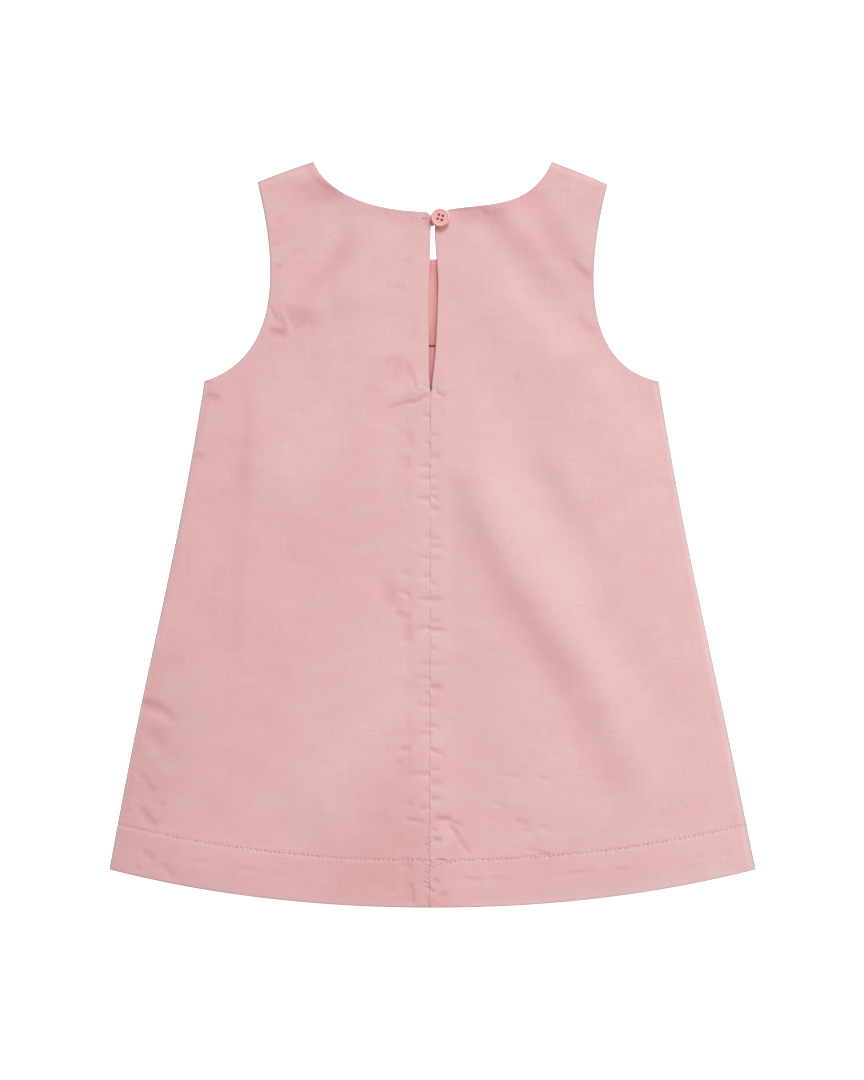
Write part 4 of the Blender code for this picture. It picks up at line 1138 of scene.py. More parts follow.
def tube(path, radius, turn, sides):
    """Vertices and faces of a round body carried along a path, with a point at each end.

    `path` is points x 3, `radius` holds a radius for each point and side, and
    `turn` says how far each ring is turned about the path.
    """
    ahead = np.gradient(path, axis=0)
    ahead /= np.linalg.norm(ahead, axis=1, keepdims=True)
    across, above = square_to(ahead)
    angle = around(sides)[None] + turn[:, None]
    ring = np.cos(angle)[..., None] * across[:, None] + np.sin(angle)[..., None] * above[:, None]
    rings = path[:, None] + ring * radius[..., None]
    vertices = np.concatenate((rings.reshape(-1, 3), path[:1], path[-1:]))
    return vertices, closed_faces(len(path), sides)


def stitches(name, starts, ends, sink, lift, radius, finish):
    """Short threads from starts to ends (across, up), as one mesh.

    Station s of a stitch lies at its share of the way, `sink` below the cloth
    at both ends and `lift` above it at the middle by sin(pi s), and it is
    radius (0.6 + 0.4 sin(pi s)) thick.
    """
    count = len(starts)
    s = np.linspace(0.02, 0.98, STITCH_STATIONS)[None, :, None]
    flat = starts[:, None] * (1.0 - s) + ends[:, None] * s
    arch = np.sin(np.pi * s[..., 0])
    height = back_top(flat[..., 0], flat[..., 1]) - sink + (sink + lift) * arch
    path = in_world(flat[..., 0], flat[..., 1], height)
    ahead = path[:, -1:] - path[:, :1]
    ahead = ahead / np.linalg.norm(ahead, axis=-1, keepdims=True)
    across = np.cross(ahead, (0.0, 0.0, 1.0))
    above = np.cross(across, ahead)
    angle = around(STITCH_SIDES)
    ring = (np.cos(angle)[None, None, :, None] * across[:, :, None]
            + np.sin(angle)[None, None, :, None] * above[:, :, None])
    thick = radius * (0.6 + 0.4 * arch)
    body = (path[:, :, None] + ring * thick[..., None, None]).reshape(count, -1, 3)
    point = ahead[:, 0] * radius * 0.4
    tips = np.stack((path[:, 0] - point, path[:, -1] + point), axis=1)

    cells, fans = ring_faces(STITCH_STATIONS, STITCH_SIDES)
    number = np.arange(count)
    step = (number * (STITCH_STATIONS * STITCH_SIDES + 2))[:, None, None]
    faces = (cells[None] + step).reshape(-1, 4).tolist()
    faces += (fans[None] + step).reshape(-1, 3).tolist()

    shape = (count, STITCH_STATIONS, STITCH_SIDES)
    round_share = np.broadcast_to(angle / (2.0 * np.pi), shape).reshape(count, -1)
    way = np.broadcast_to(s, shape).reshape(count, -1) + number[:, None]
    tip_uv = spots(np.zeros((count, 2)), spots(number, number + 1.0))
    uv = np.concatenate((spots(round_share, way), tip_uv), axis=1)
    return add_mesh(name, np.concatenate((body, tips), axis=1), faces, finish, uv)


def turned(section, sides, at):
    """Vertices and faces of a body turned about an upright line through the point `at`, from
    a half section that starts and ends on the line: each ring is (r cos a, r sin a, h)."""
    radius, height = np.array(section[1:-1]).T[..., None]
    angle = around(sides)
    rings = np.stack(np.broadcast_arrays(radius * np.cos(angle) + at[0],
                                         radius * np.sin(angle) + at[1], height), axis=-1)
    ends = [(at[0], at[1], section[end][1]) for end in (0, -1)]
    return np.concatenate((rings.reshape(-1, 3), ends)), closed_faces(len(radius), sides)


def joined(bodies):
    """Vertices and faces of several bodies as those of one."""
    steps = np.cumsum([0] + [len(vertices) for vertices, _ in bodies[:-1]]).tolist()
    faces = [[a + step for a in face] for step, body in zip(steps, bodies) for face in body[1]]
    return np.concatenate([vertices for vertices, _ in bodies]), faces


# ---------------------------------------------------------------- the finishes


class Recipe:
    """Short-hand for the nodes of one material."""

    def __init__(self, name):
        self.material = bpy.data.materials.new(name)
        self.material.use_nodes = True
        self.tree = self.material.node_tree
        self.shader = self.tree.nodes["Principled BSDF"]
        self.place = self.node("TexCoord").outputs["Object"]

    def put(self, socket, value):
        """Link a socket's source, or set its value."""
        if isinstance(value, bpy.types.NodeSocket):
            self.tree.links.new(value, socket)
        else:
            socket.default_value = value

    def node(self, kind, inputs=None, **settings):
        """One shader node, with its settings and its inputs."""
        made = self.tree.nodes.new("ShaderNode" + kind)
        for name, value in settings.items():
            setattr(made, name, value)
        for name, value in (inputs or {}).items():
            self.put(made.inputs[name], value)
        return made

    def math(self, operation, *values):
        """One sum of a Math node."""
        return self.node("Math", dict(enumerate(values)), operation=operation).outputs[0]

    def plus(self, *values):
        """Their sum."""
        total = values[0]
        for value in values[1:]:
            total = self.math("ADD", total, value)
        return total

    def times(self, *values):
        """Their product."""
        product = values[0]
        for value in values[1:]:
            product = self.math("MULTIPLY", product, value)
        return product

    def length(self, first, second):
        """sqrt(a^2 + b^2)."""
        squares = self.plus(self.math("POWER", first, 2.0), self.math("POWER", second, 2.0))
        return self.math("SQRT", squares)

    def axes(self, vector):
        """The parts of a vector along X, Y and Z."""
        return self.node("SeparateXYZ", {0: vector}).outputs

    def mark(self, name):
        """A number that the mesh carries for each point, or 0 where it has none."""
        return self.node("Attribute", attribute_name=name).outputs["Fac"]

    def noise(self, stretch, detail=2.0, seed=0.0):
        """Noise of 0 to 1 with `stretch` lumps to a metre along each axis."""
        inputs = {"Vector": self.place, "Scale": stretch, "Location": (seed, seed, seed)}
        placed = self.node("Mapping", inputs).outputs[0]
        inputs = {"Vector": placed, "Scale": 1.0, "Detail": detail, "Roughness": 0.55}
        return self.node("TexNoise", inputs).outputs[0]

    def between(self, value, low, high, to_low=0.0, to_high=1.0):
        """A value of low to high, brought to to_low to to_high and held there."""
        inputs = {"Value": value, "From Min": low, "From Max": high,
                  "To Min": to_low, "To Max": to_high}
        return self.node("MapRange", inputs).outputs[0]

    def sway(self, noise, amount, reach=0.20):
        """A noise, which seldom leaves 0.5 by more than `reach`, as -amount to amount."""
        return self.between(noise, 0.5 - reach, 0.5 + reach, -amount, amount)

    def mix(self, share, first, second):
        """A colour between two."""
        made = self.node("Mix", {0: share, 6: first, 7: second}, data_type="RGBA")
        return made.outputs[2]

    def bump(self, height, distance, below=None):
        """Bumps of a height of 0 to 1, raised by `distance` metres."""
        inputs = {"Height": height, "Distance": distance, "Strength": 1.0}
        if below:
            inputs["Normal"] = below
        return self.node("Bump", inputs).outputs[0]

    def finish(self, **inputs):
        """Set the shader's own sockets."""
        for name, value in inputs.items():
            self.put(self.shader.inputs[name.replace("_", " ")], value)
        return self.material


def opaque(colour):
    """A colour property as the four numbers of a socket."""
    return (*colour, 1.0)


def needle_marks(r):
    """Holes and pulled yarn along the hem: painted shade in the holes with light and dark specks of
    yarn, and how far they stand up.

    `stitch_run` counts stitches along the line and `stitch_off` is in millimetres from it.
    A hole lies in the middle of each count, and the cloth is pulled up by cos(2 pi run)
    between two of them.  Both are 0 where the mark `stitched` is.
    """
    run, off = r.mark("stitch_run"), r.mark("stitch_off")
    along = r.math("SUBTRACT", r.math("FRACT", run), 0.5)
    away = r.length(r.times(along, 2.6), off)
    uneven = r.noise((420.0, 420.0, 400.0), detail=0.0, seed=6.0)
    hole = r.times(r.between(away, 0.22, 0.58, 1.0, 0.0), r.between(uneven, 0.36, 0.62, 0.25, 1.0))
    beside = r.between(r.math("ABSOLUTE", off), 0.3, 2.2, 1.0, 0.0)
    speck = r.noise((1150.0, 1500.0, 400.0), detail=0.0, seed=5.0)
    rough = r.times(r.sway(speck, 1.0, 0.18), beside)
    pull = r.times(r.math("COSINE", r.times(run, 2.0 * math.pi)), beside)
    # painted shade in the needle holes, with the yarn's light and dark specks
    shade_and_specks = r.plus(r.times(hole, 0.9), r.times(rough, -0.35))
    raised = r.plus(r.times(pull, 0.35), r.times(rough, 0.55), r.times(hole, -1.0))
    return [r.times(mark, r.mark("stitched")) for mark in (shade_and_specks, raised)]


def cotton(name, light, deep, pitch, shade_colour):
    """Plain-woven cotton: the weave, thick places in the yarn, mottling and crumpled bumps.

    The threads stand up as cos(pi x / pitch) cos(pi y / pitch), warp where it
    is above 0 and weft where it is below.  The mesh's mark of dye, which also carries
    painted shade and light, leads from the colour `light` to `deep`, and its mark of
    painted shade, with greyer patches, leads from there to the shade colour.  Painted
    shade darkens the needle holes.
    """
    r = Recipe(name)
    warp, weft = [r.math("COSINE", r.times(axis, math.pi / pitch)) for axis in r.axes(r.place)[:2]]
    weave = r.times(warp, weft)
    yarn = r.noise((1100.0, 1300.0, 400.0), detail=1.0, seed=3.0)
    slub = r.between(r.noise((1300.0, 330.0, 400.0), detail=0.0, seed=8.0), 0.775, 0.84)
    nub = r.between(r.noise((330.0, 1300.0, 400.0), detail=0.0, seed=9.0), 0.785, 0.85)
    thick = r.plus(slub, nub)
    mottle = r.noise((60.0, 70.0, 60.0), detail=3.0, seed=1.0)
    weft_bar = r.noise((45.0, 560.0, 200.0), detail=1.0, seed=11.0)
    warp_bar = r.noise((520.0, 50.0, 200.0), detail=1.0, seed=12.0)
    fine = r.noise((170.0, 260.0, 260.0), detail=3.0, seed=2.0)
    shade_and_specks, raised = needle_marks(r)

    depth = r.plus(r.sway(mottle, 0.09), r.sway(weft_bar, 0.05, 0.18), r.sway(warp_bar, 0.05, 0.18),
                   r.sway(yarn, 0.05), r.times(thick, -0.25), r.times(weave, 0.03), r.mark("dye"),
                   shade_and_specks)
    dyed = r.mix(r.node("Clamp", {0: depth}).outputs[0], opaque(light), opaque(deep))
    cloth = r.plus(r.times(r.math("ABSOLUTE", weave), 0.45), r.times(yarn, 0.55))
    normal = r.bump(fine, 0.07 * MM)
    for height, distance in ((thick, 0.10 * MM), (raised, 0.16 * MM), (cloth, 0.012 * MM)):
        normal = r.bump(height, distance, normal)
    return r.finish(Base_Color=r.mix(r.mark("wear"), dyed, opaque(shade_colour)),
                    Roughness=r.between(yarn, 0.3, 0.7, 0.80, 0.92),
                    Specular_IOR_Level=0.25, Sheen_Weight=0.12, Sheen_Roughness=0.45,
                    Normal=normal)


def twisted_thread(name, colour, shade):
    """Two-ply sewing thread: its grooves run round it as sin(2 pi (2 u + 5 v))."""
    r = Recipe(name)
    round_it, along = r.axes(r.node("UVMap", uv_map="pattern").outputs[0])[:2]
    run = r.plus(r.times(round_it, 2.0), r.times(along, 5.0))
    groove = r.between(r.math("SINE", r.times(run, 2.0 * math.pi)), -1.0, 0.4)
    fluff = r.noise((2600.0, 2600.0, 2600.0))
    share = r.plus(r.times(groove, 0.75), r.times(fluff, 0.25))
    normal = r.bump(fluff, 0.02 * MM, r.bump(groove, 0.05 * MM))
    return r.finish(Base_Color=r.mix(share, opaque(shade), opaque(colour)),
                    Roughness=r.between(fluff, 0.3, 0.7, 0.55, 0.75),
                    Sheen_Weight=0.1, Specular_IOR_Level=0.35, Normal=normal)


def satin_resin(name, colour, shade):
    """Dyed polyester resin with a satin polish: faint clouds, fine turning lines and scuffs."""
    r = Recipe(name)
    centre = tuple(-x for x in BUTTON_MIDDLE)
    placed = r.node("Mapping", {"Vector": r.place, "Location": centre}).outputs[0]
    radius = r.length(*r.axes(placed)[:2])
    rings = r.math("SINE", r.times(radius, 2.0 * math.pi / TURNING_PITCH))
    cloud = r.noise((260.0, 260.0, 260.0), detail=4.0)
    scuff = r.between(r.noise((500.0, 2600.0, 900.0), detail=3.0, seed=4.0), 0.55, 0.75)
    share = r.plus(r.between(cloud, 0.3, 0.7, 0.0, 0.55), r.times(scuff, 0.25))
    normal = r.bump(r.between(rings, -1.0, 1.0), 0.003 * MM, r.bump(scuff, 0.006 * MM))
    return r.finish(Base_Color=r.mix(share, opaque(colour), opaque(shade)),
                    Roughness=r.between(scuff, 0.0, 1.0, 0.36, 0.55),
                    Specular_IOR_Level=0.45, Coat_Weight=0.15, Coat_Roughness=0.3, Normal=normal)


def pale_floor(name, colour, glow):
    """A matt pale sheet, lit from below, with the faintest grain."""
    r = Recipe(name)
    grain = r.noise((900.0, 900.0, 900.0))
    wide = r.noise((2.0, 2.0, 2.0), detail=1.0)
    share = r.times(r.plus(grain, wide), 0.5)
    paler = tuple(min(1.0, c * 1.01) for c in colour)
    return r.finish(Base_Color=r.mix(share, opaque(colour), opaque(paler)),
                    Roughness=r.between(grain, 0.2, 0.8, 0.85, 0.95), Specular_IOR_Level=0.1,
                    Emission_Color=WHITE, Emission_Strength=glow)


# ---------------------------------------------------------------- the settings


def cloth_length(name, description, default, low, high):
    """A length setting of the cloth or the sewing, given in millimetres."""
    return bpy.props.FloatProperty(
        name=name, description=description, default=default * MM, min=low * MM,
        max=high * MM, unit="LENGTH", precision=5)


def colour(name, description, *default):
    """A colour setting."""
    return bpy.props.FloatVectorProperty(
        name=name, description=description, default=default, subtype="COLOR", size=3,
        min=0.0, max=1.0)


def share(name, description, default):
    """A share of light, from 0 up."""
    return bpy.props.FloatProperty(name=name, description=description, default=default, min=0.0)


def angle(name, description, degrees, low, high):
    """An angle setting, given in degrees, with its limits in radians."""
    return bpy.props.FloatProperty(
        name=name, description=description, default=math.radians(degrees), min=low,
        max=high, subtype="ANGLE")


class DressSizes(bpy.types.PropertyGroup):
    """Sizes of the cloth and the sewing."""

    single: cloth_length("Single Cloth", "Thickness of one layer of cotton", 0.60, 0.2, 1.0)
    turned: cloth_length("Turned Cloth", "Thickness where the cotton is turned over and sewn",
                         0.90, 0.2, 1.0)
    thread_pitch: cloth_length("Thread Pitch", "Distance between two threads of the weave",
                               0.32, 0.1, 2.0)
    stitch_pitch: cloth_length("Stitch Pitch", "Distance between two needle holes",
                               2.60, 1.0, 6.0)
    stitch_length: cloth_length("Stitch Length",
                                "Length of the thread that shows between two holes",
                                2.10, 0.5, 6.0)
    stitch_radius: cloth_length("Thread Radius", "Half the thickness of the sewing thread",
                                0.16, 0.05, 0.5)


class DressColours(bpy.types.PropertyGroup):
    """Colours of the cloth, the thread and the button."""

    cotton: colour("Cotton", "Lightest colour of the cotton's right side", 0.752, 0.490, 0.490)
    # the deep colour takes the mottling and also the painted shade in the hollows
    cotton_deep: colour("Cotton, Deep", "Deepest colour of the cotton's right side",
                        0.678, 0.366, 0.370)
    # the wrong side's colours, drawn deeper and redder as painted shade, for the facing that shows
    # only in the slit
    inside: colour("Inside", "Lightest colour of the cotton's wrong side", 0.800, 0.405, 0.395)
    inside_deep: colour("Inside, Deep", "Deepest colour of the cotton's wrong side",
                        0.700, 0.315, 0.305)
    # painted shade: a redder colour standing for the shade on the front's wrong side, seen in the
    # slit
    front_inside_shade: colour("Front's Inside", "Colour of the front's wrong side, away from its edges",
                         0.990, 0.400, 0.390)
    # painted shade: the dark red drawn at the slit's end and along the slit's edges, where shade
    # falls
    slit_shade_colour: colour("Deep Fold", "Colour of the cloth where it is pinched at the slit's end",
                      0.620, 0.130, 0.110)
    # painted shade: the grey that stands for the shade along the turned edges, also used for the
    # greyer patches
    edge: colour("Worn Edge", "Greyer colour of the rubbed edges", 0.430, 0.350, 0.370)
    thread: colour("Thread", "Colour of the sewing thread", 0.810, 0.540, 0.530)
    thread_shade: colour("Thread, Shade", "Colour in the grooves of the thread",
                         0.640, 0.330, 0.320)
    # painted shade: the button's thread is drawn dark red, deeper than the sewing thread, for the
    # shade inside the button's holes
    button_thread: colour("Button Thread", "Colour of the thread that holds the button",
                          0.420, 0.110, 0.100)
    button_thread_shade: colour("Button Thread, Shade", "Colour in the grooves of that thread",
                                0.220, 0.045, 0.040)
    resin: colour("Resin", "Colour of the button", 0.820, 0.435, 0.415)
    resin_shade: colour("Resin, Shade", "Colour of the button's clouds and scuffs",
                        0.760, 0.370, 0.350)


class DressStage(bpy.types.PropertyGroup):
    """Floor, light and camera.  Each light's share is what it gives a level white surface."""

    floor: colour("Floor", "Colour of the floor", 0.940, 0.940, 0.940)
    sky_share: share("Sky Share", "Soft light from all around", 0.30)
    key_share: share("Key Share", "Light from beyond the neckline", 0.56)
    key_height: angle("Key Height", "Angle of the key light above the floor", 45.0, 0.1, 1.57)
    key_turn: angle("Key Turn", "Angle of the key light to the right of the neckline",
                    12.0, -3.15, 3.15)
    key_spread: angle("Key Spread", "Angle that the key light fills, as seen from the dress",
                      22.0, 0.0, 3.0)
    fill_share: share("Fill Share", "Light of the soft box on the right", 0.22)
    fill_place: bpy.props.FloatVectorProperty(
        name="Fill Place", description="Middle of the soft box", default=(1.25, 0.50, 0.80),
        size=3, subtype="TRANSLATION", unit="LENGTH")
    fill_size: bpy.props.FloatProperty(
        name="Fill Size", description="Side of the soft box", default=0.70,
        min=0.05, max=3.0, unit="LENGTH")
    floor_glow: share("Floor Glow", "Light that the pale floor gives of itself", 0.80)
    camera_height: bpy.props.FloatProperty(
        name="Camera Height", description="Distance of the camera above the cloth",
        default=1.98, min=0.5, max=5.0, unit="LENGTH")
    lens: bpy.props.FloatProperty(
        name="Lens", description="Focal length of the camera", default=120.0,
        min=20.0, max=300.0, unit="CAMERA")


# ------------------------------------------------------------------ the pieces


def thread_finish(colours):
    """The sewing thread's finish, made once."""
    found = bpy.data.materials.get("pink_thread")
    return found or twisted_thread("pink_thread", colours.thread, colours.thread_shade)


def seat(piece, nodes):
    """Let a piece ride on the one body and stand for its solids."""
    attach(piece, "root")
    if nodes:
        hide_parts(*nodes)
    return piece


def back_thickness(grid, sizes):
    """Thickness of the back: one layer, and more in the hem, beside the seam and at its edges."""
    at_edge = 1.0 - rise(grid.inset / MM, *TURNED_FADE)
    doubled = np.maximum.reduce((*doubled_cloth(grid.across, grid.up), at_edge))
    return sizes.single + (sizes.turned - sizes.single) * doubled


def hem_run(across):
    """Length along the hem's stitching from the centre line.

    For up = k c q^p with q = |x| / c, it is x + (k p)^2 c q^(2p - 1) / (4p - 2).
    """
    steep = HEM_CORNER[1] / HEM_CORNER[0] * HEM_CURVE
    share = np.abs(across) / HEM_CORNER[0]
    extra = share ** (2.0 * HEM_CURVE - 1.0) / (4.0 * HEM_CURVE - 2.0)
    return across + np.sign(across) * steep ** 2 * HEM_CORNER[0] * extra


def edge_light(grid):
    """Painted light: how much lighter the colour is drawn along the hem and the right side, but for
    the seam's foot.
    """
    across, up = grid.across / MM, grid.up / MM
    where = rise(across, *EDGE_LIGHT_ACROSS) * (1.0 - rise(up, *EDGE_LIGHT_UP))
    where = where * (1.0 - bell(grid.across, SEAM_FOOT_WIDTH))
    return EDGE_LIGHT * where * bell(grid.inset, EDGE_LIGHT_WIDTH)


def edge_shade_and_grey(grid):
    """Painted grey shade along the turned edges: more widely in the corners of the hem and
    along the neckline, less on the right of the hem, and not along the seam and the lower slit;
    and the greyer patches."""
    across, up, inset = grid.across, grid.up, grid.inset
    narrow = EDGE_SHADE * (1.0 - rise(inset / MM, *EDGE_SHADE_FADE))
    at_hem = (up - hem_up(across) < HEM_SHADE_UP) & (across > HEM_SHADE_FROM)
    narrow = np.where(at_hem, HEM_SHADE_SHARE, 1.0) * narrow
    corner = smooth_step((np.abs(across) - up) / CORNER_SIZE)
    corner = CORNER_SHADE * np.exp(-inset / CORNER_SHADE_WIDTH) * corner
    at_neck = (np.abs(across) < NECK_SHADE_HALF) & (up > NECK_SHADE_FROM)
    neck = NECK_SHADE + SHOULDER_SHADE * bell(across / MM - SHOULDER_SHADE_AT, SHOULDER_SHADE_WIDTH)
    neck = neck * at_neck * bell(inset, NECK_SHADE_WIDTH)
    at_seam = (np.abs(across - seam_across(up)) < SEAM_SHADE_HALF) & (up > SEAM_SHADE_FROM)
    by_slit = SLIT_SHADE_SHARE * rise(up / MM, *SLIT_SHADE_FADE)
    edges = np.maximum.reduce((narrow, corner, neck)) * np.where(at_seam, by_slit, 1.0)
    return np.maximum(edges, tone_depth(across, up, GREY_PATCHES))


class DRESS_OT_back(bpy.types.Operator):
    """Lay the two halves of the back on the front"""

    bl_idname = "dress.back"
    bl_label = "Back Halves"

    def execute(self, context):
        sizes, colours = context.scene.dress_sizes, context.scene.dress_colours
        finish = cotton("pink_cotton_back", colours.cotton, colours.cotton_deep,
                        sizes.thread_pitch, colours.edge)
        for name, side in (("left", -1), ("right", +1)):
            grid = back_half(side)
            top = back_top(grid.across, grid.up)
            # painted shade and light: the first mark below is the dye with painted shade in hollows
            # and painted light on crests and lower right edges; the last is painted grey shade
            # along the edges, with greyer patches
            marks = {"stitch_run": hem_run(grid.across) / sizes.stitch_pitch,
                     "stitch_off": hem_line_offset(grid.across, grid.up) / MM,
                     "stitched": rise(grid.across, HEM_STITCH_FROM, STITCHED_FADE),
                     "dye": MEAN_DYE + painted_shade_depth(grid.across, grid.up) - edge_light(grid),
                     "wear": edge_shade_and_grey(grid)}
            piece = cloth_shell("back_cloth_" + name, grid, top, back_thickness(grid, sizes),
                                finish, marks)
            seat(piece, ["back_panel_" + name])
        return {"FINISHED"}


def slit_shadow_lines(across, up):
    """Painted shadow where the two edges of the slit lie over the cloth below them."""
    share = (up - SLIT[0].up * MM) / ((SLIT[-1].up - SLIT[0].up) * MM)
    v = SIDE_SHARE + (1.0 - SIDE_SHARE) * np.clip(share, 0.0, 1.0)
    away = [side * centre_edge(side, v)[..., 0] - side * across for side in (-1, 1)]
    return SLIT_EDGE_SHADOW * sum(bell(edge / MM - SLIT_EDGE_SHADOW_AWAY, SLIT_EDGE_SHADOW_WIDTH) for edge in away)


class DRESS_OT_front(bpy.types.Operator):
    """Lay the front flat on the floor, face down"""

    bl_idname = "dress.front"
    bl_label = "Front"

    def execute(self, context):
        sizes, colours = context.scene.dress_sizes, context.scene.dress_colours
        finish = cotton("pink_cotton_front", colours.cotton, colours.front_inside_shade,
                        sizes.thread_pitch, colours.slit_shade_colour)
        grid = front_grid()
        top = WALL - FRONT_SINK + crumple_height(grid.across, grid.up, FRONT_CRUMPLE)
        # painted shade where the front shows at the end of the slit
        slit_end_shading = 1.0 - rise(grid.up / MM, *SLIT_END_SHADE_FADE)
        slit_end_shading = slit_end_shading * bell(grid.across, SLIT_END_SHADE_WIDTH)
        shadow_below_slit = slit_shadow_lines(grid.across, grid.up)
        # painted shade: the front is drawn redder inside, away from its edges, and darker at the
        # slit's end and along the slit's edges
        marks = {"dye": FRONT_SHADE * smooth_step(grid.inset / FRONT_SHADE_WIDTH),
                 "wear": SLIT_EDGE_SHADOW_DARKENING * shadow_below_slit + SLIT_END_SHADE * slit_end_shading}
        piece = cloth_shell("front_cloth", grid, top, top, finish, marks)
        seat(piece, ["front_panel"])
        return {"FINISHED"}


class DRESS_OT_facing(bpy.types.Operator):
    """Lay the crescent neck facing on the front"""

    bl_idname = "dress.facing"
    bl_label = "Neck Facing"

    def execute(self, context):
        sizes, colours = context.scene.dress_sizes, context.scene.dress_colours
        finish = cotton("pink_cotton_facing", colours.inside, colours.inside_deep,
                        sizes.thread_pitch, colours.slit_shade_colour)
        grid = facing_grid()
        top = 2.0 * WALL + GAP - FACING_SINK + crumple_height(grid.across, grid.up, FACING_CRUMPLE)
        # painted shadow: the facing is drawn darker along the lines under the slit's edges
        shadow_below_slit = slit_shadow_lines(grid.across, grid.up)
        marks = {"dye": MEAN_DYE + shadow_below_slit, "wear": SLIT_EDGE_SHADOW_DARKENING * shadow_below_slit}
        piece = cloth_shell("neck_facing_cloth", grid, top, FACING_THICKNESS, finish, marks)
        seat(piece, ["front_neck_facing"])
        return {"FINISHED"}


class DRESS_OT_hem_stitches(bpy.types.Operator):
    """Sew the hem with one line of lockstitch"""

    bl_idname = "dress.hem_stitches"
    bl_label = "Hem Stitches"

    def execute(self, context):
        sizes = context.scene.dress_sizes
        finish = thread_finish(context.scene.dress_colours)
        fine = np.linspace(HEM_STITCH_FROM, HEM_STITCH_TO, HEM_RUN_POINTS)
        run = hem_run(fine) / sizes.stitch_pitch
        number = np.arange(math.ceil(run[0]), math.floor(run[-1]))
        rng = np.random.default_rng(HEM_STITCH_SEED)
        slack = (sizes.stitch_pitch - sizes.stitch_length) / sizes.stitch_pitch / 2.0
        loose = rng.normal(0.0, HEM_END_SCATTER, (2, len(number)))
        start = np.interp(number + 0.5 + slack + loose[0], run, fine)
        end = np.interp(number + 1.5 - slack + loose[1], run, fine)
        sway = rng.normal(0.0, HEM_SWAY_SCATTER, (2, len(number)))
        lift = rng.uniform(*HEM_LIFT_SPAN, (len(number), 1)) * MM

        def on_line(across, off):
            level = hem_up(across) + HEM_DEPTH
            return spots(across, level + off - hem_line_offset(across, level))

        piece = stitches("hem_stitches", on_line(start, sway[0]), on_line(end, sway[1]),
                         HEM_STITCH_SINK, lift, HEM_THREAD_SHARE * sizes.stitch_radius, finish)
        seat(piece, [])
        return {"FINISHED"}


class DRESS_OT_seam_stitches(bpy.types.Operator):
    """Sew the centre seam, and tack the neckline's corner and the seam's foot"""

    bl_idname = "dress.seam_stitches"
    bl_label = "Seam Stitches and Tacks"

    def execute(self, context):
        sizes = context.scene.dress_sizes
        finish = thread_finish(context.scene.dress_colours)
        rng = np.random.default_rng(SEAM_STITCH_SEED)
        up = np.arange(SEAM_STITCH_FROM, SLIT[0].up * MM, sizes.stitch_pitch)
        length = sizes.stitch_length * rng.uniform(*SEAM_LENGTH_SPAN, len(up))
        sway = rng.normal(0.0, SEAM_SWAY_SCATTER, (2, len(up)))
        start = spots(seam_across(up) + sway[0], up)
        end = spots(seam_across(up) + sway[1], up + length)
        loose_share = np.where(up < LOOSE_BELOW, *LOOSE_SHARES)
        loose = up[rng.random(len(up)) < loose_share]
        reach = rng.uniform(*LOOSE_REACH_SPAN, (2, len(loose))) * MM
        middle, lean = seam_across(loose), rng.uniform(*LOOSE_LEAN_SPAN, len(loose)) * MM
        start = np.concatenate((start, spots(middle - reach[0], loose)))
        end = np.concatenate((end, spots(middle + reach[1], loose + lean)))
        lift = np.concatenate((rng.uniform(*SEAM_LIFT_SPAN, len(up)),
                               np.full(len(loose), LOOSE_LIFT)))
        thread = SEAM_THREAD_SHARE * sizes.stitch_radius
        seam = stitches("seam_stitches", start, end, SEAM_STITCH_SINK, lift[:, None] * MM,
                        thread, finish)
        seat(seam, [])
        for name, table, radius in (("neck_tacks", NECK_TACKS, thread),
                                    ("hem_tacks", HEM_TACKS, sizes.stitch_radius),
                                    ("loop_binding", LOOP_TACKS, BINDING_RADIUS)):
            starts = spots(column(table, "from_across"), column(table, "from_up"))
            ends = spots(column(table, "to_across"), column(table, "to_up"))
            tacks = stitches(name, starts, ends, TACK_SINK, TACK_RISE, radius, finish)
            seat(tacks, [])
        return {"FINISHED"}


def hole_spots():
    """Middles of the button's four holes."""
    angle = BUTTON_HOLE_TURN + np.arange(4) * np.pi / 2.0
    return spots(BUTTON_MIDDLE[0] + BUTTON_HOLE_CIRCLE * np.cos(angle),
                 BUTTON_MIDDLE[1] + BUTTON_HOLE_CIRCLE * np.sin(angle))


def dish_height():
    """Height of the button's dish."""
    return BUTTON_LOW[2] + BUTTON_SECTION[-1].height * MM


def button_drill():
    """Four cutters that flare at the mouth, for the button's holes."""
    low, high, dish = BUTTON_LOW[2] - DRILL_REACH, BUTTON_HIGH[2] + DRILL_REACH, dish_height()
    section = ((0.0, low), (BUTTON_HOLE_RADIUS, low),
               *((BUTTON_HOLE_RADIUS * wider, dish + above * MM)
                 for wider, above in BUTTON_HOLE_FLARE),
               (BUTTON_HOLE_MOUTH, dish + BUTTON_HOLE_MOUTH_UP), (BUTTON_HOLE_MOUTH, high),
               (0.0, high))
    vertices, faces = joined([turned(section, BUTTON_HOLE_SIDES, spot) for spot in hole_spots()])
    mesh = bpy.data.meshes.new("button_drill")
    mesh.from_pydata(vertices.tolist(), [], faces)
    drill = bpy.data.objects.new("button_drill", mesh)
    bpy.context.scene.collection.objects.link(drill)
    return drill


